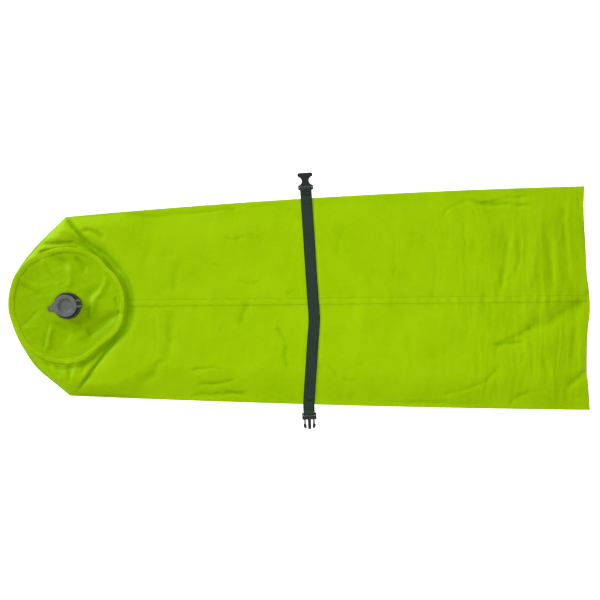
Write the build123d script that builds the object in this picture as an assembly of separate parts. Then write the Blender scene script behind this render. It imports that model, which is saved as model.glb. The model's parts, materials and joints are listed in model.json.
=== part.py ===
from build123d import *
import math
import os

# Roll-top compression sack with an air valve in its round base, laid flat.
# +X runs from the base to the mouth, +Y across the sack and +Z up. The back wall lies at Z 0,
# and the base disc is folded up, so that it lies on the front wall and its valve faces +Z.

# ---- Sack body ----
sack_length = 1015.0          # from the tip of the folded base to the longer mouth corner
mouth_width = 391.7           # across the mouth, laid flat
mouth_middle_y = 4.5          # the sack lies slightly turned, so its two ends are off the X axis
mouth_skew = 11.0             # how much shorter the upper mouth corner is
shoulder_width = 313.0        # across the sack where the base end begins to narrow
shoulder_middle_y = -9.8
shoulder_skew = 7.6           # how much further out the upper shoulder is
base_end_length = 102.7       # from the tip to the middle of the shoulders
base_corner_upper_y = 46.0    # where the blunt tip turns into the slanted sides
base_corner_lower_y = -44.0
base_corner_depth = 9.0       # the blunt tip's depth
upper_side_bulge = 5.0        # how far each slanted side bows out
lower_side_bulge = 13.0
side_bow = 5.7                # how far each long edge bows out half-way along
middle_bow = 2.0              # how far the middle line bows to +Y half-way along
outline_margin = 10.0         # room outside the long edges when the ends are cut
section_spacing = 150.0       # between the cross-sections that shape the long edges
sack_height = 9.2             # two walls and the air left between them
edge_height = 2.4             # height at the two long folded edges
edge_slope = 40.0             # width over which the front wall comes down to an edge
wall = 0.6                    # coated cloth
side_wall = 1.5               # cloth folded on itself along each long edge

# ---- Roll-top: the mouth end is rolled over twice ----
roll_width = 65.0
roll_gap = 1.0
roll_count = 2

# ---- Base disc and its bound seam ----
disc_radius = 102.0
disc_thickness = 0.6
disc_middle_y = -9.0
disc_overlap = 8.0            # front wall that lies under the disc's rim
binding_width = 10.0
binding_thickness = 0.5
thread_width = 0.5
thread_height = 0.3

# ---- Long seam ----
seam_start_y = -4.7           # at the base disc
seam_end_y = 3.7              # at the mouth
seam_row_spacing = 11.0       # between the two rows of stitches
seam_end_margin = 1.5         # from the disc's rim to the first stitch
tape_width = 20.0             # sealing tape inside, under the stitches
tape_thickness = 0.15

# ---- Webbing strap ----
strap_width = 20.0
strap_thickness = 1.4
strap_upper_x = 11.9          # where the strap crosses the upper edge
strap_bend_x = 25.0           # the strap bows towards the mouth
strap_bend_y = -35.0
strap_bend_radius = 500.0
strap_lower_x = 16.2          # where it crosses the lower edge
strap_upper_turn = 3.7        # degrees that each free end is turned from the Y axis
strap_lower_turn = 2.5
strap_end_gap = 2.4           # between the fixed strap and each free end, at the fold
bar_distance = 16.3           # from the fold at the sack's edge to the buckle's bar
tail_start = 4.7              # where the folded-back tail of the webbing ends
tail_sewn = 4.5               # length of tail that is sewn down
tack_length = 15.0
tack_width = 2.0
tack_inset = 6.0              # from the sack's edge to the bar tack
stitch_stand = 0.3            # thread standing above the webbing
backing_width = 28.0          # sealing tape inside the sack, under the strap

# ---- Side-release buckle ----
buckle_height = 7.6
bar_radius = 1.7
bar_clearance = 0.15          # between the bar and the webbing round it
webbing_side_clearance = 0.4
webbing_bay_depth = 6.8       # from the bar back to the open end of the webbing's room
buckle_edge_radius = 1.2
female_ear = 2.6              # beside the webbing, at each end of the bar
female_ear_corner = 2.0
female_mouth_corner = 3.0
female_waist = 12.0
female_length = 29.3          # from the back of its bar to the socket's mouth
waist_distance = 13.7         # from the bar to the waist
waist_radius = 8.3
socket_width = 19.2
socket_wall = 1.4             # above and below the socket
webbing_turn_clearance = 0.55  # between the turned webbing and the body of either half
socket_floor = 3.7            # solid wall behind the socket
male_ear = 2.0
ear_lip = 0.2                 # ear that stands above and below the bar
male_body_length = 5.6
guide_width = 5.4
guide_length = 17.0
blade_clearance = 0.5         # between a blade and the socket's top or bottom
prong_length = 16.2
prong_stem_inner = 6.4        # from the buckle's middle
prong_stem_outer = 9.2
prong_head_inner = 5.4
prong_head_outer = 10.6
prong_shoulder = 8.0          # from the body to the shoulder that locks in the female half
prong_shoulder_slope = 0.8    # how far the locking shoulder leans forward
prong_nose = 6.2              # length of the head's curved nose, on its outer side
prong_nose_inner = 1.6
prong_nose_offset = 1.0       # of the tip, inwards from the head's middle
prong_tip_round = 0.4         # height of the arc that rounds the tip's inner side
prong_neck = 2.0              # length over which the stem widens into the head
prong_root_clearance = 0.1
guide_overlap = 1.0           # of the guide into the cross-piece

# ---- Valve ----
valve_offset_x = 4.0          # the valve is set a little off the disc's middle
valve_radius = 22.75
valve_height = 13.0           # above the base disc
valve_wall = 2.0
valve_plate = 2.0
neck_outer = 15.0
neck_bore = 11.0
neck_reach = 2.8              # below the top of the base disc
fit_clearance = 0.05          # between the neck and what it passes through
clamp_ring_radius = 24.0
clamp_ring_thickness = 1.6
seat_top = 1.0                # of the flap's seat, above the base disc
seat_thickness = 1.5
seat_ports = 6
seat_port_radius = 2.2
seat_port_lap = 1.2           # flap that lies outside the ports
flap_margin = 1.4             # between the flap and the neck's bore
flap_thickness = 0.8
flap_lift = 1.5
stem_radius = 1.3
stem_clearance = 0.2
barb_radius = 2.2
barb_thickness = 0.8
flap_gap = 0.05

# ---- Valve cap ----
cap_radius = 19.5
lid_shift = 1.2               # of the lid's middle from the plug's, towards the tab
cap_gap = 0.3
cap_thickness = 4.7
dish_top_radius = 13.3
dish_bottom_radius = 9.6
dish_depth = 3.4
cap_edge_radius = 1.4
plug_clearance = 0.5          # between the plug and the neck's bore
plug_taper = 0.5
plug_wall = 2.0
plug_length = 4.2
plug_roof = 0.2               # solid plug left under the lid
seal_clearance = 0.1          # between the seal and the neck's bore
seal_height = 1.0
seal_depth = 0.9              # from the cap's underside to the seal
seal_groove = 0.7
tab_reach = 6.2               # from the cap's rim to the middle of the tab's hole
tab_radius = 6.0
tab_flare = 40.0              # degrees round the lid at which the tab's sides run into its rim
tab_hole_radius = 2.2
tab_thickness = 2.6
tab_neck_width = 9.0
hinge_offset = 0.25           # of the hinge pin, outside the valve's wall
hinge_drop = 2.5              # of the pin, below the valve's rim
hinge_turn = 11.0             # degrees that the hinge is turned from the X axis
knuckle_radius = 2.6
knuckle_width = 6.6           # the valve's own knuckle, in the middle
knuckle_clearance = 0.3
cap_knuckle_width = 3.2
arm_overlap = 4.0             # of each knuckle's arm into the lid
pin_radius = 1.0
pin_clearance = 0.05
pin_stand = 0.3

cut_margin = 1.0              # how far a cut runs past what it cuts

# ---- Worked-out sizes and places ----
female_width = strap_width + 2 * (webbing_side_clearance + female_ear)
male_width = strap_width + 2 * (webbing_side_clearance + male_ear)
socket_height = buckle_height - 2 * socket_wall
body_distance = bar_radius + bar_clearance + strap_thickness + webbing_turn_clearance
flap_radius = neck_bore - flap_margin
seat_port_circle = flap_radius - seat_port_radius - seat_port_lap
plug_radius = neck_bore - plug_clearance
seal_radius = neck_bore - seal_clearance
hinge_distance = valve_radius + hinge_offset
tab_distance = cap_radius + tab_reach
tip_x = -sack_length / 2
mouth_x = sack_length / 2
shoulder_x = tip_x + base_end_length
roll_lines = [mouth_x - roll_width * (roll_count - i) for i in range(roll_count)]
disc_x = tip_x + disc_radius
disc_bottom = sack_height
disc_top = disc_bottom + disc_thickness
bar_z = buckle_height / 2
fold_z = edge_height + strap_thickness / 2
seam_start_x = disc_x + disc_radius + seam_end_margin


def half_width(x):
    """Half of the sack's width, growing from the shoulders to the mouth with a slight bow."""
    share = (x - shoulder_x) / (mouth_x - shoulder_x)
    straight = (shoulder_width + (mouth_width - shoulder_width) * share) / 2
    return straight + 4 * side_bow * share * (1 - share)


def middle_y(x):
    """The sack's middle line."""
    share = (x - shoulder_x) / (mouth_x - shoulder_x)
    straight = shoulder_middle_y + (mouth_middle_y - shoulder_middle_y) * share
    return straight + 4 * middle_bow * share * (1 - share)


def seam_y(x):
    """The long seam's line."""
    share = (x - seam_start_x) / (mouth_x - seam_start_x)
    return seam_start_y + (seam_end_y - seam_start_y) * share


def bowed(start, end, bulge):
    """An arc from start to end that bows out to the left of that direction."""
    across = end - start
    side = Vector(-across.Y, across.X).normalized() * bulge
    return ThreePointArc(start, (start + end) / 2 + side, end)


def prism(points, low, high):
    """A flat polygon raised from low to high."""
    face = make_face(Polyline(*points, close=True))
    return Pos(0, 0, low) * extrude(face, high - low, dir=(0, 0, 1))


def end_cutter():
    """An outline that is the sack's own at its base end and mouth, and wider along the sides."""
    mouth_upper = Vector(mouth_x - mouth_skew, mouth_middle_y + mouth_width / 2)
    mouth_lower = Vector(mouth_x, mouth_middle_y - mouth_width / 2)
    along_mouth = (mouth_upper - mouth_lower).normalized() * outline_margin
    upper = Vector(shoulder_x - shoulder_skew / 2, shoulder_middle_y + shoulder_width / 2)
    lower = Vector(shoulder_x + shoulder_skew / 2, shoulder_middle_y - shoulder_width / 2)
    corner_upper = Vector(tip_x + base_corner_depth, base_corner_upper_y)
    corner_lower = Vector(tip_x + base_corner_depth, base_corner_lower_y)
    tip = Vector(tip_x, (base_corner_upper_y + base_corner_lower_y) / 2)
    outward = Vector(0, outline_margin)
    edges = [
        Line(mouth_lower - along_mouth, mouth_upper + along_mouth),
        Polyline(mouth_upper + along_mouth, upper + outward, upper),
        bowed(upper, corner_upper, -upper_side_bulge),
        ThreePointArc(corner_upper, tip, corner_lower),
        bowed(corner_lower, lower, -lower_side_bulge),
        Polyline(lower, lower - outward, mouth_lower - along_mouth),
    ]
    return make_face([edge for line in edges for edge in line.edges()])


def cross_section(x, inset, low, edge_high, high):
    """The sack's section at x: flat below, and sloping down to both long edges above."""
    middle = middle_y(x)
    reach = half_width(x) - inset
    points = [
        (x, middle - reach, low),
        (x, middle + reach, low),
        (x, middle + reach, edge_high),
        (x, middle + reach - edge_slope, high),
        (x, middle - reach + edge_slope, high),
        (x, middle - reach, edge_high),
    ]
    return make_face(Polyline(*points, close=True))


def stations(start_x, end_x):
    """Evenly spaced places along the sack, both ends among them."""
    count = max(1, round((end_x - start_x) / section_spacing))
    return [start_x + (end_x - start_x) * i / count for i in range(count + 1)]


def outer_block(start_x, end_x):
    places = stations(start_x, end_x)
    return loft([cross_section(x, 0, 0, edge_height, sack_height) for x in places], ruled=True)


def inner_block(start_x, end_x):
    low = wall
    edge_high = edge_height - wall
    high = sack_height - wall
    places = stations(start_x, end_x)
    return loft([cross_section(x, side_wall, low, edge_high, high) for x in places], ruled=True)


def tube_main():
    """The sack's body, open at its mouth end and under the base disc."""
    end_x = roll_lines[0] - roll_gap / 2
    outline = end_cutter()
    outer = outer_block(tip_x, end_x) & extrude(outline, sack_height, dir=(0, 0, 1))
    inner_outline = offset(outline, -side_wall, kind=Kind.INTERSECTION)
    inner = inner_block(tip_x, end_x + roll_gap)
    inner = inner & extrude(inner_outline, sack_height, dir=(0, 0, 1))
    round_hole = Pos(disc_x, disc_middle_y, sack_height) * Cylinder(disc_radius - disc_overlap, 3 * wall)
    return outer - inner - round_hole


def tube_roll(index):
    """One fold of the roll-top: a flat open sleeve."""
    start_x = roll_lines[index] + roll_gap / 2
    last = index == roll_count - 1
    end_x = mouth_x if last else roll_lines[index + 1] - roll_gap / 2
    outer = outer_block(start_x, end_x)
    if last:
        outer = outer & extrude(end_cutter(), sack_height, dir=(0, 0, 1))
    return outer - inner_block(start_x - roll_gap, end_x + roll_gap)


def strip_along_seam(start_x, end_x, offset_y, width, low, high):
    """A thin straight strip that follows the long seam."""
    points = [
        (start_x, seam_y(start_x) + offset_y - width / 2),
        (end_x, seam_y(end_x) + offset_y - width / 2),
        (end_x, seam_y(end_x) + offset_y + width / 2),
        (start_x, seam_y(start_x) + offset_y + width / 2),
    ]
    return prism(points, low, high)


def seam_thread(start_x, end_x):
    """Two rows of stitches along the seam."""
    rows = [
        strip_along_seam(start_x, end_x, side * seam_row_spacing / 2, thread_width,
                         sack_height, sack_height + thread_height)
        for side in (-1, 1)
    ]
    return Compound(children=[row.solid() for row in rows])


def seam_tape(start_x, end_x):
    """Sealing tape on the inner face of the front wall."""
    top = sack_height - wall
    return strip_along_seam(start_x, end_x, 0, tape_width, top - tape_thickness, top)


def on_disc(shape):
    """Moves a shape from the Z axis to the base disc's middle."""
    return Pos(disc_x, disc_middle_y, 0) * shape


def on_valve(shape):
    """Moves a shape from the Z axis to the valve's middle."""
    return Pos(disc_x + valve_offset_x, disc_middle_y, 0) * shape


def ring(outer, inner, low, high):
    return Pos(0, 0, low) * extrude(Circle(outer) - Circle(inner), high - low)


def base_disc():
    sheet = on_disc(Pos(0, 0, disc_bottom) * extrude(Circle(disc_radius), disc_thickness))
    return sheet - on_valve(Pos(0, 0, disc_bottom) * Cylinder(neck_outer + fit_clearance, 4 * disc_thickness))


def base_seam_binding():
    """Tape folded over the rim where the disc meets the tube."""
    inner = disc_radius - binding_width
    return on_disc(ring(disc_radius, inner, disc_top, disc_top + binding_thickness))


def base_seam_thread():
    row = disc_radius - binding_width - thread_width
    return on_disc(ring(row, row - thread_width, disc_top, disc_top + thread_height))


def strap_plan():
    """The fixed strap's middle line: two straights and a wide bend, edge to edge."""
    upper_y = middle_y(strap_upper_x) + half_width(strap_upper_x)
    lower_y = middle_y(strap_lower_x) - half_width(strap_lower_x)
    return Vector(strap_upper_x, upper_y), Vector(strap_lower_x, lower_y)


def band(points, radius, width, low, high):
    """A straight-sided band of a width along a bent line."""
    path = FilletPolyline(*points, radius=radius)
    face = trace(path, line_width=width)
    return Pos(0, 0, low) * extrude(face, high - low, dir=(0, 0, 1))


def strap_middle():
    """Webbing across the front wall, following its slopes down to both edges."""
    upper, lower = strap_plan()
    past = strap_width
    bend = Vector(strap_bend_x, strap_bend_y)
    start = upper + (upper - bend).normalized() * past
    end = lower + (lower - bend).normalized() * past
    plan = band([start, bend, end], strap_bend_radius, strap_width, 0, sack_height + strap_thickness)
    sides = [min(upper.X, lower.X) - strap_width / 2, strap_bend_x + strap_width / 2]
    lower_edge = min(middle_y(x) - half_width(x) for x in sides)
    upper_edge = max(middle_y(x) + half_width(x) for x in sides)
    low_line = [
        (lower_edge, edge_height),
        (lower_edge + edge_slope, sack_height),
        (upper_edge - edge_slope, sack_height),
        (upper_edge, edge_height),
    ]
    high_line = [(y, z + strap_thickness) for y, z in reversed(low_line)]
    profile = make_face(Polyline(*[(0, y, z) for y, z in low_line + high_line], close=True))
    layer = Pos(strap_lower_x, 0, 0) * extrude(profile, 3 * strap_width, dir=(1, 0, 0), both=True)
    trimmed = layer & plan
    low_y = lower.Y + strap_end_gap / 2
    high_y = upper.Y - strap_end_gap / 2
    span = Box(6 * strap_width, high_y - low_y, 4 * sack_height)
    return trimmed & Pos(strap_lower_x, (low_y + high_y) / 2, 0) * span


def strap_backing_tape():
    """Sealing tape inside the sack, behind the strap, lying over the seam tape."""
    upper, lower = strap_plan()
    top = sack_height - wall - tape_thickness
    reach = half_width(strap_upper_x) - edge_slope - side_wall
    middle = middle_y(strap_upper_x)
    share_up = (middle + reach - strap_bend_y) / (upper.Y - strap_bend_y)
    share_down = (strap_bend_y - (middle - reach)) / (strap_bend_y - lower.Y)
    bend = Vector(strap_bend_x, strap_bend_y)
    start = bend + (upper - bend) * share_up
    end = bend + (lower - bend) * share_down
    return band([start, bend, end], strap_bend_radius, backing_width, top - tape_thickness, top)


def place_upper(shape):
    """Puts a shape made along +Y from its fold at the upper edge."""
    upper, _ = strap_plan()
    return Pos(upper.X, upper.Y, 0) * Rot(0, 0, strap_upper_turn) * shape


def place_lower(shape):
    """Puts a shape made along +Y from its fold at the lower edge, turned about."""
    _, lower = strap_plan()
    return Pos(lower.X, lower.Y, 0) * Rot(0, 0, 180 + strap_lower_turn) * shape


def edge_tack():
    """A bar tack through the strap and the wall, just inside the edge."""
    slope = math.degrees(math.atan((sack_height - edge_height) / edge_slope))
    surface = edge_height + strap_thickness + tack_inset * math.tan(math.radians(slope))
    height = strap_thickness + wall + stitch_stand
    block = Box(tack_length, tack_width, height)
    return Pos(0, -tack_inset, surface + stitch_stand - height / 2) * Rot(-slope, 0, 0) * block


def layer_quad(start, end):
    """One layer of webbing between two middle points, in the Y-Z plane."""
    half = strap_thickness / 2
    (y0, z0), (y1, z1) = start, end
    points = [(0, y0, z0 - half), (0, y1, z1 - half), (0, y1, z1 + half), (0, y0, z0 + half)]
    face = make_face(Polyline(*points, close=True))
    return extrude(face, strap_width / 2, dir=(1, 0, 0), both=True)


def lower_layer_z(y):
    """Middle height of the webbing's lower layer, from the fold to under the bar."""
    loop = bar_radius + bar_clearance + strap_thickness / 2
    share = (y - strap_end_gap / 2) / (bar_distance - strap_end_gap / 2)
    return fold_z + (bar_z - loop - fold_z) * share


def strap_end():
    """The free webbing: out from the fold, round the buckle's bar and back over itself."""
    inner = bar_radius + bar_clearance
    outer = inner + strap_thickness
    loop = (inner + outer) / 2
    start_y = strap_end_gap / 2
    tail_end = tail_start + tail_sewn
    lower = layer_quad((start_y, lower_layer_z(start_y)), (bar_distance, bar_z - loop))
    tail = layer_quad((tail_start, lower_layer_z(tail_start) + strap_thickness),
                      (tail_end, lower_layer_z(tail_end) + strap_thickness))
    upper = layer_quad((tail_end, lower_layer_z(tail_end) + strap_thickness),
                       (bar_distance, bar_z + loop))
    turn = Rot(0, 90, 0) * Cylinder(outer, strap_width) - Rot(0, 90, 0) * Cylinder(inner, 2 * strap_width)
    outward = Pos(0, outer, 0) * Box(2 * strap_width, 2 * outer, 3 * outer)
    turn = Pos(0, bar_distance, bar_z) * (turn & outward)
    return lower + tail + upper + turn


def strap_end_stitches():
    """The row of stitches that holds the folded-back tail."""
    middle = tail_start + tail_sewn / 2
    height = 2 * strap_thickness + 2 * stitch_stand
    place = Pos(0, middle, lower_layer_z(middle) + strap_thickness / 2)
    return place * Box(tack_length, tack_width, height)


def webbing_bay(width):
    """The room round a buckle's bar that the webbing turns in."""
    length = webbing_bay_depth + body_distance
    room = Box(strap_width + 2 * webbing_side_clearance, length, 3 * buckle_height)
    bar = Pos(0, bar_distance, bar_z) * Rot(0, 90, 0) * Cylinder(bar_radius, width)
    return Pos(0, bar_distance - webbing_bay_depth + length / 2, bar_z) * room, bar


def ear_taper(width):
    """What is cut off above and below the ears, so that they narrow towards the bar."""
    back = bar_distance - bar_radius
    front = bar_distance + body_distance
    low = bar_z - bar_radius - ear_lip
    past = back - cut_margin
    face = make_face(Polyline((0, past, -cut_margin), (0, front, -cut_margin), (0, front, 0),
                              (0, back, low), (0, past, low), close=True))
    below = extrude(face, width, dir=(1, 0, 0), both=True)
    above = Pos(0, 0, 2 * bar_z) * mirror(below, about=Plane.XY)
    return below + above


def buckle_female():
    """Socket half: an hourglass body, open at its waist for the two prongs' shoulders."""
    back = bar_distance - bar_radius
    front = back + female_length
    plan = Pos(0, (back + front) / 2) * Rectangle(female_width, female_length)
    plan = fillet(plan.vertices().group_by(Axis.Y)[-1], female_mouth_corner)
    plan = fillet(plan.vertices().group_by(Axis.Y)[0], female_ear_corner)
    body = extrude(plan, buckle_height, dir=(0, 0, 1))
    rims = body.edges().group_by(Axis.Z)
    body = fillet(rims[0] + rims[-1], buckle_edge_radius)
    side_x = female_waist / 2 + waist_radius
    waist = Pos(side_x, bar_distance + waist_distance, bar_z) * Cylinder(waist_radius, 2 * buckle_height)
    floor_y = bar_distance + body_distance + socket_floor
    socket_length = front - floor_y
    socket = Pos(0, floor_y + socket_length, bar_z) * Box(socket_width, 2 * socket_length, socket_height)
    bay, bar = webbing_bay(female_width)
    body = body - waist - mirror(waist, about=Plane.YZ) - socket - ear_taper(female_width)
    return (body - bay) + bar


def prong(side):
    """A flexing prong: round root, slim stem, and a head with a locking shoulder."""
    root_y = bar_distance + body_distance + male_body_length
    root_x = (prong_stem_inner + prong_stem_outer) / 2
    tip_y = root_y + prong_length
    shoulder_y = root_y + prong_shoulder
    head_x = (prong_head_inner + prong_head_outer) / 2
    shoulder_tip = (prong_head_outer, shoulder_y + prong_shoulder_slope)
    nose_outer = (prong_head_outer, tip_y - prong_nose)
    nose_inner = (prong_head_inner, tip_y - prong_nose_inner)
    tip = (head_x - prong_nose_offset, tip_y)
    tip_arc = ((tip[0] + nose_inner[0] - prong_tip_round) / 2, (tip_y + nose_inner[1] + prong_tip_round) / 2)
    neck_end = (prong_head_inner, shoulder_y + prong_neck)
    thickness = socket_height - 2 * blade_clearance
    edges = [
        Line((prong_stem_outer, root_y), (prong_stem_outer, shoulder_y)),
        Line((prong_stem_outer, shoulder_y), shoulder_tip),
        Line(shoulder_tip, nose_outer),
        TangentArc(nose_outer, tip, tangent=(0, 1)),
        ThreePointArc(tip, tip_arc, nose_inner),
        Line(nose_inner, neck_end),
        Line(neck_end, (prong_stem_inner, shoulder_y)),
        Line((prong_stem_inner, shoulder_y), (prong_stem_inner, root_y)),
        RadiusArc((prong_stem_inner, root_y), (prong_stem_outer, root_y),
                  -(prong_stem_outer - root_x)),
    ]
    face = make_face(edges)
    blade = Pos(0, 0, bar_z - thickness / 2) * extrude(face, thickness, dir=(0, 0, 1))
    return blade if side > 0 else mirror(blade, about=Plane.YZ)


def buckle_male():
    """Prong half: a frame round the webbing, a cross-piece and the middle guide."""
    back = bar_distance - bar_radius
    root_y = bar_distance + body_distance + male_body_length
    body = Pos(0, (back + root_y) / 2, bar_z) * Box(male_width, root_y - back, buckle_height)
    body = fillet(body.edges().filter_by(Axis.Y), buckle_edge_radius)
    thickness = socket_height - 2 * blade_clearance
    guide = Pos(0, root_y + guide_length / 2, bar_z) * Box(guide_width, guide_length, thickness)
    guide = fillet(guide.edges().filter_by(Axis.Z).group_by(Axis.Y)[-1], guide_width / 3)
    guide = guide + Pos(0, root_y, bar_z) * Box(guide_width, 2 * guide_overlap, thickness)
    root_x = (prong_stem_inner + prong_stem_outer) / 2
    recess_radius = prong_stem_outer - root_x + prong_root_clearance
    bay, bar = webbing_bay(male_width)
    body = (body - bay - ear_taper(male_width)) + bar
    for side in (-1, 1):
        body = body - Pos(side * root_x, root_y, bar_z) * Cylinder(recess_radius, 2 * buckle_height)
    return body + guide


def turned_about_hinge(shape):
    """Turns a shape made with its hinge on +X to the way that the valve is set in the disc."""
    return on_valve(Rot(0, 0, hinge_turn) * shape)


def knuckle(radius, start, width):
    """A round hinge knuckle along the pin, from start."""
    z = disc_top + valve_height - hinge_drop
    return Pos(hinge_distance, start + width / 2, z) * Rot(90, 0, 0) * Cylinder(radius, width)


def valve_body():
    """Moulded cup with its own hinge knuckle, notched for the cap's two knuckles."""
    rim = disc_top + valve_height
    wall_ring = ring(valve_radius, valve_radius - valve_wall, disc_top, rim)
    plate = ring(valve_radius, neck_outer + fit_clearance, disc_top, disc_top + valve_plate)
    clear = knuckle_radius + knuckle_clearance
    reach = cap_knuckle_width + 2 * knuckle_clearance
    lug_z = rim - hinge_drop
    lug = Box(2 * knuckle_radius, knuckle_width, hinge_drop + 2 * knuckle_radius)
    lug_place = Pos(hinge_distance - knuckle_radius, 0, lug_z - hinge_drop / 2 - knuckle_radius)
    body = wall_ring + plate + lug_place * lug
    body = body + knuckle(knuckle_radius, -knuckle_width / 2, knuckle_width)
    for side in (-1, 1):
        start = knuckle_width / 2 if side > 0 else -knuckle_width / 2 - reach
        body = body - knuckle(clear, start, reach)
        slot_height = hinge_drop + clear
        slot = Box(2 * clear, reach, slot_height)
        body = body - Pos(hinge_distance, start + reach / 2, lug_z + slot_height / 2) * slot
    bore = knuckle(pin_radius, -knuckle_width, 2 * knuckle_width)
    neck_room = Pos(0, 0, disc_top) * Cylinder(neck_outer + fit_clearance, 4 * valve_height)
    return turned_about_hinge(body - bore - neck_room)


def valve_neck():
    """Insert pressed through the body and the disc, with the flap's perforated seat across it."""
    neck = ring(neck_outer, neck_bore, disc_top - neck_reach, disc_top + valve_height)
    seat_low = disc_top + seat_top - seat_thickness
    seat = ring(neck_bore, stem_radius + stem_clearance, seat_low, disc_top + seat_top)
    for place in PolarLocations(seat_port_circle, seat_ports):
        seat = seat - Pos(0, 0, seat_low) * (place * Cylinder(seat_port_radius, 4 * seat_thickness))
    return on_valve(neck + seat)


def valve_clamp_ring():
    """Ring inside the sack that clamps the disc's cloth to the valve."""
    top = disc_bottom
    return on_valve(ring(clamp_ring_radius, neck_outer + fit_clearance, top - clamp_ring_thickness, top))


def valve_flap():
    """One-way rubber flap with its stem and barb."""
    low = disc_top + seat_top + flap_gap
    barb_top = disc_top + seat_top - seat_thickness - flap_gap - flap_lift
    flap = Pos(0, 0, low) * extrude(Circle(flap_radius), flap_thickness)
    stem = Pos(0, 0, barb_top) * extrude(Circle(stem_radius), low - barb_top)
    barb = Pos(0, 0, barb_top - barb_thickness) * extrude(Circle(barb_radius), barb_thickness)
    return on_valve(flap + stem + barb)


def hinge_pin():
    reach = knuckle_width / 2 + knuckle_clearance + cap_knuckle_width + pin_stand
    return turned_about_hinge(knuckle(pin_radius, -reach, 2 * reach))


def cap_plan():
    """The tab's plan from the lid's middle: a flared neck and the eye at its end."""
    flare = math.radians(tab_flare)
    root = Vector(-cap_radius * math.cos(flare), cap_radius * math.sin(flare))
    end = Vector(-tab_distance, tab_neck_width / 2)
    neck = make_face(Polyline(root, end, (end.X, -end.Y), (root.X, -root.Y), close=True))
    return Pos(-tab_distance, 0) * Circle(tab_radius) + neck


def valve_cap():
    """Dished snap cap with a plug for the neck, a finger tab and two hinge knuckles."""
    low = disc_top + valve_height + cap_gap
    high = low + cap_thickness
    lid = Pos(-lid_shift, 0, low) * extrude(Circle(cap_radius), cap_thickness)
    lid = fillet(lid.edges().group_by(Axis.Z)[-1], cap_edge_radius)
    tab_low = low + (cap_thickness - tab_thickness) / 2
    tab = Pos(-lid_shift, 0, tab_low) * extrude(cap_plan(), tab_thickness)
    dish = Pos(-lid_shift, 0, high - dish_depth / 2)
    dish = dish * Cone(dish_bottom_radius, dish_top_radius, dish_depth)
    plug = Pos(0, 0, low - plug_length / 2) * Cone(plug_radius - plug_taper, plug_radius, plug_length)
    hollow = Cylinder(plug_radius - plug_wall, 2 * (plug_length - plug_roof))
    plug = plug - Pos(0, 0, low - plug_length) * hollow
    groove_top = low - seal_depth
    groove = ring(plug_radius + cut_margin, plug_radius - seal_groove, groove_top - seal_height, groove_top)
    cap = lid + tab - dish + (plug - groove)
    cap = cap - Pos(-lid_shift - tab_distance, 0, low) * Cylinder(tab_hole_radius, 4 * cap_thickness)
    start = knuckle_width / 2 + knuckle_clearance
    arm_length = hinge_distance + knuckle_radius - (cap_radius - lid_shift) + arm_overlap
    pin_z = disc_top + valve_height - hinge_drop
    for side in (-1, 1):
        near = start if side > 0 else -start - cap_knuckle_width
        arm_x = hinge_distance + knuckle_radius - arm_length / 2
        arm_height = cap_thickness - cap_edge_radius
        arm = Pos(arm_x, near + cap_knuckle_width / 2, low + arm_height / 2)
        cap = cap + arm * Box(arm_length, cap_knuckle_width, arm_height)
        post_height = low - pin_z + arm_height / 2
        post = Pos(hinge_distance, near + cap_knuckle_width / 2, pin_z + post_height / 2)
        cap = cap + post * Box(2 * knuckle_radius, cap_knuckle_width, post_height)
        cap = cap + knuckle(knuckle_radius, near, cap_knuckle_width)
    bore = knuckle(pin_radius + pin_clearance, -4 * knuckle_width, 8 * knuckle_width)
    return turned_about_hinge(cap - bore)


def cap_seal():
    """Rubber ring round the cap's plug."""
    top = disc_top + valve_height + cap_gap - seal_depth
    return on_valve(ring(seal_radius, plug_radius - seal_groove, top - seal_height, top))


def seam_spans():
    """Start and end of each length of the long seam: the body, then each fold."""
    starts = [seam_start_x] + [x + roll_gap / 2 for x in roll_lines]
    ends = [x - roll_gap / 2 for x in roll_lines] + [mouth_x - mouth_skew]
    return list(zip(starts, ends))


def all_parts():
    names = ["main"] + [f"roll_{i + 1}" for i in range(roll_count)]
    parts = {"tube_main": tube_main()}
    for index in range(roll_count):
        parts[f"tube_roll_{index + 1}"] = tube_roll(index)
    for name, (start_x, end_x) in zip(names, seam_spans()):
        parts[f"seam_tape_{name}"] = seam_tape(start_x, end_x)
        parts[f"seam_thread_{name}"] = seam_thread(start_x, end_x)
    parts["base_disc"] = base_disc()
    parts["base_seam_binding"] = base_seam_binding()
    parts["base_seam_thread"] = base_seam_thread()
    parts["valve_body"] = valve_body()
    parts["valve_neck"] = valve_neck()
    parts["valve_clamp_ring"] = valve_clamp_ring()
    parts["valve_flap"] = valve_flap()
    parts["valve_cap"] = valve_cap()
    parts["cap_seal"] = cap_seal()
    parts["hinge_pin"] = hinge_pin()
    parts["strap_middle"] = strap_middle()
    parts["strap_backing_tape"] = strap_backing_tape()
    for name, place in (("upper", place_upper), ("lower", place_lower)):
        parts[f"{name}_edge_tack"] = place(edge_tack())
        parts[f"{name}_strap_end"] = place(strap_end())
        parts[f"{name}_strap_stitches"] = place(strap_end_stitches())
    parts["buckle_female"] = place_upper(buckle_female())
    parts["buckle_male"] = place_lower(buckle_male())
    parts["prong_left"] = place_lower(prong(-1))
    parts["prong_right"] = place_lower(prong(1))
    return parts


os.makedirs("parts", exist_ok=True)
for node, shape in all_parts().items():
    export_step(shape, f"parts/{node}.step")
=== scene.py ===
import json

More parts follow.
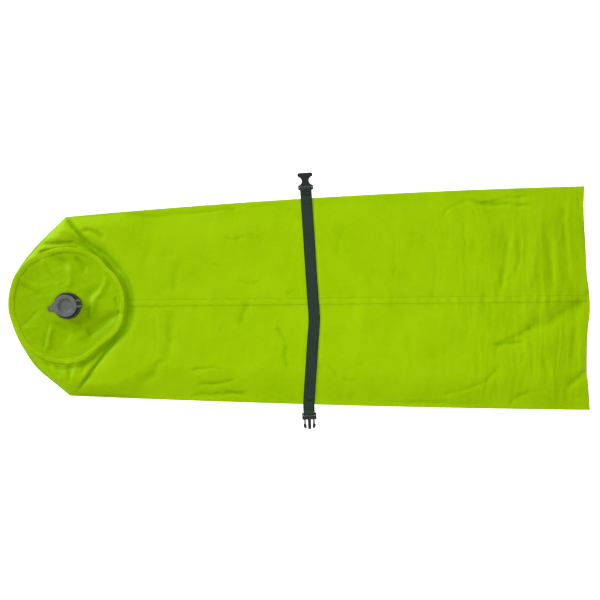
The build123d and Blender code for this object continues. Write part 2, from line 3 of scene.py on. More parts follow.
import bmesh
import bpy
import numpy as np
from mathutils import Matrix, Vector


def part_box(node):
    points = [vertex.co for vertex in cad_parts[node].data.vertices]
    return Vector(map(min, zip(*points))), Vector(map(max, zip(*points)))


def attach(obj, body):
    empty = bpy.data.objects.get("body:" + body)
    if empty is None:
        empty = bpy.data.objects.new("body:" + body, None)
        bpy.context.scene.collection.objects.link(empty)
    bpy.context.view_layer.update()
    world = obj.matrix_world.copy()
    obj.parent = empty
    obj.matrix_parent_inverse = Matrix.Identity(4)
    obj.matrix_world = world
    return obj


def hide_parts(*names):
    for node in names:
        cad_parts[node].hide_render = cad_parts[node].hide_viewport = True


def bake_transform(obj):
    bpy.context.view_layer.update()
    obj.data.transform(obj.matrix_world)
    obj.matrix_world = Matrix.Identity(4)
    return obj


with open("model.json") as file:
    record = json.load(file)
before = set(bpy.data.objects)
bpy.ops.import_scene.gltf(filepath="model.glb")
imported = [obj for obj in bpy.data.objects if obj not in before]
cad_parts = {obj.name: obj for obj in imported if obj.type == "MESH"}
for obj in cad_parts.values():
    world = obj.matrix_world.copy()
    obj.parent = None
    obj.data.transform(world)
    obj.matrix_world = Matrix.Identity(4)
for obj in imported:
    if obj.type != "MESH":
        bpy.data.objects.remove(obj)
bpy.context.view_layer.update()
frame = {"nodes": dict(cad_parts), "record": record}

# A coated-nylon compression sack laid flat, its round base folded up to show the air valve.
# Lengths in this file are millimetres until a mesh is made, when they become metres.

METRE = 0.001


def box_mm(node):
    """Lowest and highest corners of a CAD node, in millimetres."""
    low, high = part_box(node)
    return np.array(low) / METRE, np.array(high) / METRE


def joint_place(name):
    """A joint's point, in millimetres."""
    joint = next(j for j in frame["record"]["behaviour"]["joints"] if j["name"] == name)
    return np.array(joint["pos_m"]) / METRE


# ---- places taken from the frame ----
TIP_X = box_mm("tube_main")[0][0]
MOUTH_X = box_mm("tube_roll_2")[1][0]
disc_low, disc_high = box_mm("base_disc")
DISC_X, DISC_Y, _ = (disc_low + disc_high) / 2
DISC_RADIUS = (disc_high[0] - disc_low[0]) / 2
DISC_TOP = disc_high[2]
neck_low, neck_high = box_mm("valve_neck")
VALVE_X, VALVE_Y, _ = (neck_low + neck_high) / 2
NECK_RADIUS = (neck_high[0] - neck_low[0]) / 2
FOLD_1 = joint_place("roll_1_fold")
FOLD_2 = joint_place("roll_2_fold")
UPPER_FOLD = joint_place("upper_strap_fold")
LOWER_FOLD = joint_place("lower_strap_fold")
UPPER_BAR = joint_place("female_buckle_swing")
LOWER_BAR = joint_place("male_buckle_swing")
SPLIT_X = (FOLD_1[0] + FOLD_2[0]) / 2      # the tube's cloth is two pieces that meet here

# ---- the laid-flat sack ----
SHOULDER_X = TIP_X + 102.7
SHOULDER_WIDTH = 313.0
SHOULDER_MIDDLE = -9.8
MOUTH_WIDTH = 391.7
MOUTH_MIDDLE = 4.5
SIDE_BOW = 5.7
MIDDLE_BOW = 2.0
EDGE_HEIGHT = 1.2          # middle of the cloth at a folded edge
EDGE_ROUND = 3.0           # how far in the fold's rounding reaches
WALL_TOP = 8.6             # front wall, well inside the edges
EDGE_REACH = 62.0          # how far in the front wall goes on rising
CLOTH = 0.35               # thickness of the coated cloth
WEB_WIDTH = 20.0           # the strap's webbing
WEB_THICK = 1.4
SEAM_START_Y = -4.7        # the long seam at the base disc
SEAM_RISE = 8.4            # how far it has moved up by the mouth
SEAM_HALF = 7.2            # half the width of its raised band
SEAM_ROW = 5.5             # from its middle to each of its two rows of stitches
BIND_WIDTH = 10.8          # bound seam allowance round the base disc
DISC_LAP = 17.0            # how far in from the disc's rim the tube's own cloth ends, under the disc
# The base end's outline, as (x, y), and the mouth's, as (x, share of the half width).
BASE_RIM = [(-408.6, 146.7), (-437.0, 119.0), (-463.5, 91.8), (-487.0, 62.0), (-499.0, 41.0),
            (-506.0, 10.0), (-507.3, -22.0), (-500.9, -46.0), (-482.0, -85.0), (-454.5, -122.5),
            (-425.0, -147.0), (-401.3, -166.6)]
MOUTH_RIM = [(497.5, 1.0), (495.9, 0.83), (498.5, 0.5), (502.0, 0.18), (506.6, 0.0), (506.9, -0.1),
             (503.0, -0.28), (501.2, -0.5), (501.6, -0.66), (504.7, -0.82), (507.3, -1.0)]


def smooth(value):
    """0 below 0, 1 above 1, and a smooth S between."""
    value = np.clip(value, 0.0, 1.0)
    return value * value * (3.0 - 2.0 * value)


def half_width(x):
    """Half the sack's width: straight taper plus a parabola that bows the edges."""
    share = (x - SHOULDER_X) / (MOUTH_X - SHOULDER_X)
    return (SHOULDER_WIDTH + (MOUTH_WIDTH - SHOULDER_WIDTH) * share) / 2 + 4 * SIDE_BOW * share * (1 - share)


def middle_y(x):
    """The sack's middle line: straight, with a parabola that bows it."""
    share = (x - SHOULDER_X) / (MOUTH_X - SHOULDER_X)
    return SHOULDER_MIDDLE + (MOUTH_MIDDLE - SHOULDER_MIDDLE) * share + 4 * MIDDLE_BOW * share * (1 - share)


def seam_y(x):
    """The long seam runs straight from the base disc to the mouth."""
    start = DISC_X + DISC_RADIUS
    return SEAM_START_Y + SEAM_RISE * (x - start) / (MOUTH_X - start)


def through(points, at):
    """Catmull-Rom curve of the points' first values, looked up at their second values."""
    ordered = np.array(sorted(points, key=lambda p: p[1]))
    value, place = ordered[:, 0], ordered[:, 1]
    slope = np.gradient(value, place)
    index = np.clip(np.searchsorted(place, at) - 1, 0, len(place) - 2)
    span = place[index + 1] - place[index]
    u = np.clip((at - place[index]) / span, 0, 1)
    return (value[index] * (2 * u**3 - 3 * u**2 + 1) + value[index + 1] * (3 * u**2 - 2 * u**3)
            + slope[index] * span * (u**3 - 2 * u**2 + u) + slope[index + 1] * span * (u**3 - u**2))


def base_rim_x(t):
    """Where the base end's outline is, for t from -1 at the lower edge to 1 at the upper one."""
    rim = [(x, (y - middle_y(x)) / half_width(x)) for x, y in BASE_RIM]
    rim[0] = (rim[0][0], 1.0)
    rim[-1] = (rim[-1][0], -1.0)
    return through(rim, t)


# ---- wrinkles: heights added to the front wall ----
def lattice_noise(x, y, cell_x, cell_y, seed):
    """Smooth noise from -1 to 1: random values on a lattice, blended with an S curve."""
    values = np.random.default_rng(seed).uniform(-1, 1, (97, 97))
    gx, gy = x / cell_x + 40, y / cell_y + 40
    ix, iy = np.floor(gx).astype(int), np.floor(gy).astype(int)
    ux, uy = smooth(gx - ix), smooth(gy - iy)
    corner = [values[(ix + i) % 97, (iy + j) % 97] for i in (0, 1) for j in (0, 1)]
    low = corner[0] * (1 - uy) + corner[1] * uy
    high = corner[2] * (1 - uy) + corner[3] * uy
    return low * (1 - ux) + high * ux


def along(x, y, start, end, bow=0.0, lead=0.25):
    """Signed distance to the left of a bowed line, and a weight that fades at its two ends."""
    dx, dy = end[0] - start[0], end[1] - start[1]
    length = np.hypot(dx, dy)
    u = ((x - start[0]) * dx + (y - start[1]) * dy) / length**2
    v = ((y - start[1]) * dx - (x - start[0]) * dy) / length - bow * 4 * u * (1 - u)
    return v, smooth(u / lead) * smooth((1 - u) / lead)


def trough(x, y, start, end, depth, width, bow=0.0, lead=0.25):
    """A rounded valley along a line; a negative depth makes a ridge."""
    v, fade = along(x, y, start, end, bow, lead)
    return -depth * fade * np.exp(-((v / width) ** 2))


def crease(x, y, start, end, depth, width, bow=0.0, lead=0.25):
    """A sharp V along a line: its walls rise as one minus an exponential."""
    v, fade = along(x, y, start, end, bow, lead)
    return -depth * fade * np.exp(-np.abs(v) / width)


def lip(x, y, start, end, height, width, bow=0.0, lead=0.25):
    """A fold's lip: a steep step up to the left of a line that falls away over a width."""
    v, fade = along(x, y, start, end, bow, lead)
    step = 1 / (1 + np.exp(-np.clip(v / 1.3, -40, 40)))
    return height * fade * step * np.exp(-np.clip(v, 0, None) / width)


# Each fold line of the base end, as (shape, start, end, depth or height, width, bow).
BASE_FOLDS = [
    (crease, (-413, 152), (-345, 70), 3.4, 2.6, 0),
    (crease, (-418, 156), (-340, 64), 1.2, 13.0, 0),
    (lip, (-346, 71), (-412, 150), 1.7, 16.0, 0),
    (trough, (-384, 122), (-338, 104), 1.6, 5.0, 8),
    (trough, (-362, 88), (-312, 40), 2.6, 11.0, 5),
    (crease, (-418, 122), (-362, 88), 1.5, 4.0, 2),
    (crease, (-464, 84), (-374, 98), 3.6, 3.0, -5),
    (crease, (-452, 100), (-388, 102), 2.2, 2.8, -2),
    (crease, (-470, 74), (-372, 84), 3.4, 3.6, -8),
    (trough, (-420, 124), (-378, 104), -1.0, 5.0, 0),
    (trough, (-440, 108), (-395, 104), -1.2, 6.0, 0),
    (trough, (-455, 90), (-392, 97), -1.2, 4.0, 0),
    (crease, (-303, -42), (-392, -165), 4.4, 2.4, 0),
    (lip, (-394, -168), (-302, -41), 1.0, 12.0, 0),
    (crease, (-318, -84), (-378, -150), 1.0, 9.0, 0),
    (crease, (-444, -105), (-432, -128), 0.9, 3.5, 0),
    (crease, (-424, -110), (-418, -136), 0.9, 3.0, 0),
    (trough, (-402, -108), (-404, -146), 1.1, 4.0, 2),
    (trough, (-389, -106), (-392, -140), -0.9, 4.0, 0),
    (trough, (-372, -100), (-380, -134), 1.0, 4.0, 0),
    (crease, (-484, -72), (-462, -96), 0.6, 3.0, 0),
]

# Creases just inside the two long edges.
EDGE_FOLDS = [
    (crease, (-318, 147), (-100, 163.5), 1.8, 3.2, 0),
    (crease, (-192, -170), (-130, -159.5), 1.8, 3.0, 0),
    (crease, (-134, -159.5), (-88, -167), 1.5, 3.0, 0),
    (crease, (-96, 161), (-20, 172), 1.0, 3.0, 0),
    (crease, (296, 168), (410, 184), 1.3, 3.4, 2),
    (crease, (180, -178), (300, -186), 0.9, 3.0, 0),
]

# Folds and puckers of the front wall between the base and the strap.
MIDDLE_FOLDS = [
    (crease, (-136, 110), (-90, 112), 1.3, 2.6, -2),
    (trough, (-96, 116), (-58, 106), 0.9, 7.0, 0),
    (crease, (-154, 61), (-137, 61), 0.7, 2.4, 0),
    (crease, (-108, 37), (-81, 28), 0.8, 2.6, 0),
    (crease, (-83, 28), (-66, 37), 0.8, 2.6, 0),
    (trough, (-106, -52), (-88, 4), 1.0, 7.0, 0),
    (trough, (-212, 74), (-222, 8), 1.1, 9.0, 0),
    (trough, (-226, -8), (-236, -118), 1.4, 10.0, 3),
    (trough, (-228, -96), (-284, -146), 1.2, 8.0, 2),
    (crease, (-194, -123), (-130, -120), 1.3, 2.6, 2),
    (crease, (-182, -148), (-106, -137), 1.5, 3.0, -2),
    (crease, (-150, -168), (-86, -162), 1.3, 4.0, 2),
    (crease, (-44, -44), (-21, -78), 1.3, 2.6, 1),
    (crease, (-23, -72), (-21, -120), 1.3, 2.8, -2),
    (crease, (-24, 11), (-6, 21), 0.8, 2.4, 0),
    (crease, (-144, 166), (-106, 158), 1.2, 3.4, -1),
    (lip, (-176, 150), (-60, 160), 0.7, 9.0, 0),
    (trough, (-300, 150), (-120, 163), 0.9, 7.0, 0),
    (trough, (-170, 30), (-150, -90), -0.9, 16.0, 0),
    (crease, (-250, -20), (-252, -92), 0.5, 2.6, 0),
    (trough, (-262, 40), (-236, 130), -0.8, 12.0, 0),
]

# Folds of the front wall between the strap and the mouth.
MOUTH_FOLDS = [
    (trough, (524, 8), (392, -52), 4.2, 13.0, 2),
    (lip, (418, -40), (332, -82), -1.4, 16.0, -2),
    (crease, (420, -40), (330, -84), 0.6, 5.0, -2),
    (crease, (330, -77), (396, -72), 2.0, 3.2, 1),
    (crease, (378, -26), (410, -54), 1.4, 4.0, 2),
    (trough, (284, 176), (424, 168), 2.2, 5.0, -3),
    (crease, (240, 144), (297, 180), 1.5, 3.4, 2),
    (lip, (300, 158), (432, 152), 1.5, 10.0, 0),
    (trough, (433, 150), (439, 8), 2.2, 8.0, 0),
    (trough, (360, 140), (346, 4), 1.9, 7.0, 4),
    (crease, (288, 176), (288, 18), 0.9, 2.4, 0),
    (trough, (461, 194), (474, 12), 1.7, 8.0, -5),
    (crease, (484, 196), (500, 96), 1.5, 7.0, 0),
    (trough, (412, 120), (404, 20), -1.3, 8.0, 0),
    (trough, (386, 130), (372, 30), 1.0, 4.0, 3),
    (crease, (238, -166), (335, -138), 1.3, 2.8, -3),
    (crease, (318, -150), (350, -112), 1.3, 3.0, 0),
    (crease, (344, -66), (344, -190), 0.9, 2.4, 0),
    (crease, (362, -184), (412, -158), 1.7, 4.0, 3),
    (crease, (400, -160), (470, -158), 0.9, 3.4, 3),
    (trough, (462, -156), (508, -118), 2.4, 7.0, 0),
    (trough, (424, -92), (430, -160), 1.2, 5.0, 3),
    (trough, (478, -40), (482, -130), 0.9, 6.0, 0),
    (trough, (396, -60), (390, -130), -1.0, 8.0, 0),
    (crease, (45, -112), (72, -140), 1.7, 4.0, 2),
    (crease, (70, -139), (106, -134), 1.1, 3.0, -2),
    (trough, (38, -100), (30, -180), 1.5, 7.0, 0),
    (crease, (84, -122), (112, -108), 0.7, 3.0, 0),
    (trough, (112, 60), (110, -60), -0.7, 10.0, 0),
    (crease, (168, 120), (162, 30), 0.5, 2.6, 0),
    (crease, (236, 106), (230, -40), 0.6, 3.0, 3),
    (crease, (252, -70), (256, -150), 0.6, 3.0, 0),
    (crease, (186, -40), (194, -132), 0.5, 2.6, 2),
    (trough, (60, 70), (86, 150), 0.8, 8.0, 0),
    (trough, (140, -180), (330, -184), 1.0, 5.0, 3),
]

# Folds of the base disc, running out from the valve.
DISC_FOLDS = [
    (crease, (-494, 31), (-448, 4), 0.7, 4.0, 1),
    (trough, (-498, 44), (-446, 16), -1.2, 5.0, 0),
    (trough, (-462, 84), (-398, 56), 2.0, 9.0, 5),
    (crease, (-444, 72), (-418, 26), 0.9, 5.0, -4),
    (trough, (-392, 78), (-372, 46), 1.4, 5.0, 2),
    (trough, (-398, 60), (-402, 18), -1.1, 6.0, 2),
    (trough, (-334, 44), (-356, 0), -1.5, 5.0, 3),
    (trough, (-354, 8), (-366, -36), -1.3, 5.0, 0),
    (trough, (-346, 30), (-380, -6), 1.3, 8.0, 0),
    (trough, (-378, -66), (-308, -20), 2.0, 8.0, 3),
    (crease, (-372, -62), (-330, -38), 0.9, 4.0, 0),
    (trough, (-382, -26), (-368, -70), -1.2, 6.0, 0),
    (crease, (-434, -36), (-450, -92), 0.9, 5.0, 0),
    (trough, (-430, -40), (-440, -92), -1.5, 5.0, 0),
    (trough, (-424, -30), (-400, -74), 1.4, 10.0, 0),
    (crease, (-452, -12), (-490, -48), 0.8, 5.0, 2),
    (trough, (-320, 10), (-312, -30), 1.2, 4.0, 0),
    (crease, (-318, -18), (-306, -30), 1.2, 3.0, 0),
]


# How much deeper or shallower than listed each group is pressed in.
BASE_FOLD_GAIN = 1.45
DISC_FOLD_GAIN = 1.75
MOUTH_FOLD_GAIN = 0.62
# The bound rim's dents and bulges, as (middle in degrees, size, half width in degrees).
RIM_DENTS = [(43, -3.8, 9), (140, 2.6, 20), (-50, -10.0, 19), (-159, -2.8, 12), (12, 0.9, 9)]


def folds(x, y, group, wander=1.0):
    """Sum of a group's folds at every point, their lines wandering and their depths uneven."""
    total = np.zeros_like(x)
    moved_x = x + wander * (2.4 * lattice_noise(x, y, 19, 19, 61) + 0.9 * lattice_noise(x, y, 8, 8, 62))
    moved_y = y + wander * (2.4 * lattice_noise(x, y, 19, 19, 63) + 0.9 * lattice_noise(x, y, 8, 8, 64))
    for shape, start, end, size, width, bow in group:
        total += shape(moved_x, moved_y, start, end, size, width, bow)
    return total * (1 + 0.4 * wander * lattice_noise(x, y, 17, 17, 65))


def from_disc(x, y):
    """Distance and direction from the base disc's middle."""
    dx, dy = x - DISC_X, y - DISC_Y
    return np.hypot(dx, dy), np.arctan2(dy, dx)


def rim_radius(angle):
    """The bound rim: round, but pulled in where the tube's folds run off it and out beside them."""
    radius = np.full_like(angle, DISC_RADIUS + 0.6)
    for degrees, size, width in RIM_DENTS:
        away = (np.degrees(angle) - degrees + 180) % 360 - 180
        radius = radius + size * np.exp(-((away / width) ** 2))
    return radius


def disc_height(x, y):
    """The base disc's cloth: level round the valve, tilted down to the left, and folded."""
    r, angle = np.hypot(x - VALVE_X, y - VALVE_Y), np.arctan2(y - VALVE_Y, x - VALVE_X)
    out = smooth((r - 25.0) / 75.0)
    tilt = out * (-0.6 + 2.6 * np.cos(angle) + 0.2 * np.sin(angle))
    waves = out * (0.5 * np.sin(5 * angle + 0.7) + 0.35 * np.sin(9 * angle + 2.0))
    quiet = smooth((r - 23.0) / 16.0)
    fine = 0.35 * lattice_noise(x, y, 13, 17, 5) + 0.15 * lattice_noise(x, y, 6, 5, 6)
    facets = 0.9 * (0.3 - np.abs(lattice_noise(x + 0.4 * y, y - 0.3 * x, 27, 21, 8)))
    sag = -0.9 * smooth((r - 26.0) / 20.0) * (1 - smooth((r - 66.0) / 30.0))
    pressed = DISC_FOLD_GAIN * folds(x, y, DISC_FOLDS, 0.5)
    return DISC_TOP + 0.05 + tilt + waves + sag + quiet * (fine + facets + pressed)


def crumple(x, y):
    """Fine creasing of coated cloth: folded noise at a few sizes and slants."""
    soft = 0.55 * lattice_noise(x + 0.3 * y, y, 70, 90, 11) + 0.3 * lattice_noise(x, y + 0.4 * x, 31, 44, 12)
    fold_a = 0.28 * (0.3 - np.abs(lattice_noise(x - 0.25 * y, y, 19, 46, 13)))
    fold_b = 0.22 * (0.3 - np.abs(lattice_noise(x + 0.5 * y, y - 0.2 * x, 27, 21, 14)))
    grain = 0.06 * lattice_noise(x, y, 6.5, 9, 15)
    return soft + fold_a + fold_b + grain


def mouth_wrinkles(x, y):
    """Upright wrinkles that grow towards the mouth, where the cloth has been rolled up."""
    weight = smooth((x - 190) / 170)
    wander = 9 * lattice_noise(x, y, 90, 60, 21)
    long = 0.5 * (0.42 - np.abs(lattice_noise(x + wander, y, 23, 150, 22)))
    short = 0.34 * (0.4 - np.abs(lattice_noise(x + wander, y, 9, 60, 23)))
    fine = 0.16 * lattice_noise(x + 0.6 * wander, y, 5, 34, 24)
    return weight * (long + short + fine)


def seam_relief(x, y):
    """Flat-felled seam: a slightly raised band with a fine groove along each row of stitches."""
    off = y - seam_y(x)
    run = smooth((x - DISC_X - DISC_RADIUS + 10) / 10)
    band = 0.45 * smooth((SEAM_HALF - np.abs(off)) / 1.6)
    groove = 0.4 * np.exp(-(((np.abs(off) - SEAM_ROW) / 1.1) ** 2))
    pucker = 0.14 * np.sin(x / 3.1 + 3 * lattice_noise(x, y, 40, 40, 31)) * np.exp(-((off / 9) ** 2))
    return run * (band - groove + pucker)


def strap_x(y):
    """The strap's middle line: two slanted straights joined by a wide bend."""
    bend_x, bend_y, bend_reach = 25.6, -33.0, 36.0
    upper_slope = (UPPER_FOLD[0] - bend_x) / (UPPER_FOLD[1] - bend_y)
    lower_slope = (LOWER_FOLD[0] - bend_x) / (LOWER_FOLD[1] - bend_y)
    share = smooth((y - bend_y + bend_reach) / (2 * bend_reach))
    return bend_x + (y - bend_y) * (lower_slope * (1 - share) + upper_slope * share)


def strap_press(x, y):
    """The strap's weight presses the front wall, and its stitches pull at both edges."""
    off = x - strap_x(y)
    return -0.5 * np.exp(-((off / 13) ** 2)) + 0.3 * np.exp(-((np.abs(off) - 16) / 5) ** 2)


def wall_height(x, y, edge_distance):
    """Height of the front wall's outer face: edge rounding, slow rise, folds and wrinkles."""
    fold_round = np.sqrt(np.clip(1 - (1 - np.clip(edge_distance / EDGE_ROUND, 0, 1)) ** 2, 0, 1))
    gathered = smooth((-250 - x) / 80)
    rise = smooth(edge_distance / (EDGE_REACH - 36 * gathered)) ** 0.8
    inside = smooth(edge_distance / 26)
    closed = 1 - 0.62 * smooth((x - MOUTH_X + 90) / 90)
    level = EDGE_HEIGHT + 0.9 * fold_round + (WALL_TOP - EDGE_HEIGHT - 0.9) * rise * closed
    wrinkles = crumple(x, y) + mouth_wrinkles(x, y) + strap_press(x, y)
    level = level + (0.25 * fold_round + 0.75 * inside) * wrinkles + inside * seam_relief(x, y)
    pressed = folds(x, y, MIDDLE_FOLDS) + MOUTH_FOLD_GAIN * folds(x, y, MOUTH_FOLDS)
    level = level + smooth(edge_distance / 12) * pressed + smooth(edge_distance / 4) * folds(x, y, EDGE_FOLDS)
    r, angle = from_disc(x, y)
    rim = rim_radius(angle)
    out = np.clip(r - rim, 0, None)
    under = disc_height(x, y) - 1.9 - 0.12 * np.clip(rim - r, 0, 40)
    near = smooth((rim + 36 - r) / 36)
    ditch = (1.2 + 3.6 * smooth(0.5 + 0.9 * np.cos(angle))) * smooth(out / 7) * (1 - smooth((out - 7) / 26))
    valley = np.minimum(level, under + 0.16 * out) - ditch
    level = level * (1 - near) + valley * near
    bunched = BASE_FOLD_GAIN * folds(x, y, BASE_FOLDS, 0.25) + 1.6 * gathered
    level = level + smooth(edge_distance / 9) * smooth((r - rim + 5) / 6) * bunched
    return np.maximum(level, EDGE_HEIGHT + 0.9 * fold_round - 0.3 * inside)


# ---- mesh helpers ----
def new_object(name, points, faces, uv=None):
    """Makes a mesh object from points in millimetres, with smooth shading and an optional UV per point."""
    mesh = bpy.data.meshes.new(name)
    faces = faces.tolist() if isinstance(faces, np.ndarray) else faces
    mesh.from_pydata((points * METRE).tolist(), [], faces)
    mesh.polygons.foreach_set("use_smooth", np.ones(len(mesh.polygons), bool))
    if uv is not None:
        corner_points = np.empty(len(mesh.loops), int)
        mesh.loops.foreach_get("vertex_index", corner_points)
        layer = mesh.uv_layers.new(name="UVMap")
        layer.data.foreach_set("uv", np.asarray(uv, np.float32)[corner_points].ravel())
    mesh.update()
    piece = bpy.data.objects.new(name, mesh)
    bpy.context.scene.collection.objects.link(piece)
    return piece


def grid_faces(rows, columns, wrap=False):
    """Quads over a grid of points stored row after row; wrap joins the last column to the first."""
    row = np.arange(rows - 1)[:, None] * columns
    a = np.arange(columns if wrap else columns - 1)[None, :]
    b = (a + 1) % columns
    return np.stack([row + a, row + columns + a, row + columns + b, row + b], -1).reshape(-1, 4)


def end_faces(rows, columns):
    """The flat faces at the two ends of a wrapped grid."""
    return np.stack([np.arange(columns)[::-1], (rows - 1) * columns + np.arange(columns)])


def closed_sweep(rows, columns):
    """Every face of a piece that is swept along rows of points and closed at both ends."""
    return grid_faces(rows, columns, wrap=True).tolist() + end_faces(rows, columns).tolist()


def weld(piece):
    """Merges doubled points and drops faces with no area."""
    tidy = bmesh.new()
    tidy.from_mesh(piece.data)
    bmesh.ops.remove_doubles(tidy, verts=tidy.verts, dist=0.02 * METRE)
    bmesh.ops.dissolve_degenerate(tidy, edges=tidy.edges, dist=0.001 * METRE)
    tidy.to_mesh(piece.data)
    tidy.free()


def face_outwards(piece):
    """Turns a closed piece's faces so that they all point outwards."""
    tidy = bmesh.new()
    tidy.from_mesh(piece.data)
    bmesh.ops.recalc_face_normals(tidy, faces=tidy.faces)
    tidy.to_mesh(piece.data)
    tidy.free()


def dress(piece, material):
    """Gives a piece its material."""
    piece.data.materials.append(material)


def thicken(piece, thickness):
    """Gives cloth its thickness, inwards from its outer face."""
    solid = piece.modifiers.new("cloth thickness", "SOLIDIFY")
    solid.thickness = thickness * METRE
    solid.offset = -1


def bend_over_fold(piece, body_a, body_b, fold, reach):
    """Bakes the piece's placing into its points; it bends nothing over the fold."""
    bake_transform(piece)


# ---- materials ----
BAND_PERIOD = 0.314        # metres from band to band in a wave texture whose scale is 1


def linear(colour):
    """sRGB hex colour to linear red, green, blue and alpha."""
    value = np.array([int(colour[i:i + 2], 16) for i in (1, 3, 5)]) / 255
    value = np.where(value <= 0.04045, value / 12.92, ((value + 0.055) / 1.055) ** 2.4)
    return (*value.tolist(), 1.0)


def add(tree, kind, settings=None, values=None, links=None):
    """Adds a node, with its settings, its input values and its links from other nodes' outputs."""
    node = tree.nodes.new(kind)
    for key, value in (settings or {}).items():
        setattr(node, key, value)
    for key, value in (values or {}).items():
        node.inputs[key].default_value = value
    for key, source in (links or {}).items():
        tree.links.new(source, node.inputs[key])
    return node


def start_material(name, roughness, **sockets):
    """A new material with its shader's constant values set; underscores stand for spaces."""
    material = bpy.data.materials.new(name)
    material.use_nodes = True
    tree = material.node_tree
    shader = tree.nodes["Principled BSDF"]
    shader.inputs["Roughness"].default_value = roughness
    for key, value in sockets.items():
        shader.inputs[key.replace("_", " ")].default_value = value
    return material, tree, shader


def ramp(tree, source, stops):
    """A colour ramp between (position, hex colour) stops."""
    node = add(tree, "ShaderNodeValToRGB", links={"Fac": source})
    while len(node.color_ramp.elements) < len(stops):
        node.color_ramp.elements.new(0.5)
    for element, (place, colour) in zip(node.color_ramp.elements, stops):
        element.position = place
        element.color = linear(colour)
    return node.outputs["Color"]


def coated_nylon(name, light, middle, dark, shade_green="#6FA300", roughness=0.46):
    """Plain-woven nylon with a polyurethane coating: soft satin, slightly mottled where the coating is thin.
    Painted shade: its colour is mixed towards a darker green down in its folds and creases and beside the
    base disc.
    Its real thread spacing of 0.25 mm can't show from this far, so the weave is drawn at 1.77 mm."""
    material, tree, shader = start_material(name, roughness, IOR=1.5, Specular_IOR_Level=0.3,
                                            Specular_Tint=linear("#B4E000"))
    place = add(tree, "ShaderNodeUVMap", {"uv_map": "UVMap"}).outputs["UV"]
    cloud = add(tree, "ShaderNodeTexNoise", values={"Scale": 14.0, "Detail": 4.0, "Roughness": 0.6},
                links={"Vector": place})
    fine = add(tree, "ShaderNodeTexNoise", values={"Scale": 160.0, "Detail": 3.0}, links={"Vector": place})
    blend = add(tree, "ShaderNodeMix", {"data_type": "FLOAT"}, {"Factor": 0.3},
                {"A": cloud.outputs["Fac"], "B": fine.outputs["Fac"]})
    colour = ramp(tree, blend.outputs[0], [(0.30, dark), (0.5, middle), (0.72, light)])
    # Painted shade: a value stored on each point mixes the colour towards a darker green in creases and
    # beside the base disc.
    painted_shade = add(tree, "ShaderNodeAttribute", {"attribute_name": "painted_shade"})
    depth = add(tree, "ShaderNodeMapRange", values={"From Max": 1.1, "To Max": 0.62},
                links={"Value": painted_shade.outputs["Fac"]})
    shaded = add(tree, "ShaderNodeMix", {"data_type": "RGBA"}, {7: linear(shade_green)},
                 {0: depth.outputs["Result"], 6: colour})
    tree.links.new(shaded.outputs[2], shader.inputs["Base Color"])
    weave_scale = BAND_PERIOD / (1.77 * METRE)
    warp = add(tree, "ShaderNodeTexWave", {"bands_direction": "X"}, {"Scale": weave_scale}, {"Vector": place})
    weft = add(tree, "ShaderNodeTexWave", {"bands_direction": "Y"}, {"Scale": weave_scale}, {"Vector": place})
    weave = add(tree, "ShaderNodeMath", {"operation": "ADD"},
                links={0: warp.outputs["Fac"], 1: weft.outputs["Fac"]})
    weave_bump = add(tree, "ShaderNodeBump", values={"Strength": 0.10, "Distance": 0.0002},
                     links={"Height": weave.outputs[0]})
    stretched = add(tree, "ShaderNodeMapping", values={"Scale": (1.0, 0.4, 1.0)}, links={"Vector": place})
    creasing = add(tree, "ShaderNodeTexNoise", values={"Scale": 120.0, "Detail": 5.0, "Roughness": 0.62},
                   links={"Vector": stretched.outputs["Vector"]})
    crease_bump = add(tree, "ShaderNodeBump", values={"Strength": 0.22, "Distance": 0.0012},
                      links={"Height": creasing.outputs["Fac"], "Normal": weave_bump.outputs["Normal"]})
    tree.links.new(crease_bump.outputs["Normal"], shader.inputs["Normal"])
    return material


def twisted_thread(name, light, dark):
    """Polyester sewing thread: matt, with the dark flecks of its twist."""
    material, tree, shader = start_material(name, 0.75, Specular_IOR_Level=0.15)
    place = add(tree, "ShaderNodeTexCoord").outputs["Object"]
    fleck = add(tree, "ShaderNodeTexNoise", values={"Scale": 700.0, "Detail": 2.0}, links={"Vector": place})
    colour = ramp(tree, fleck.outputs["Fac"], [(0.35, dark), (0.65, light)])
    tree.links.new(colour, shader.inputs["Base Color"])
    return material


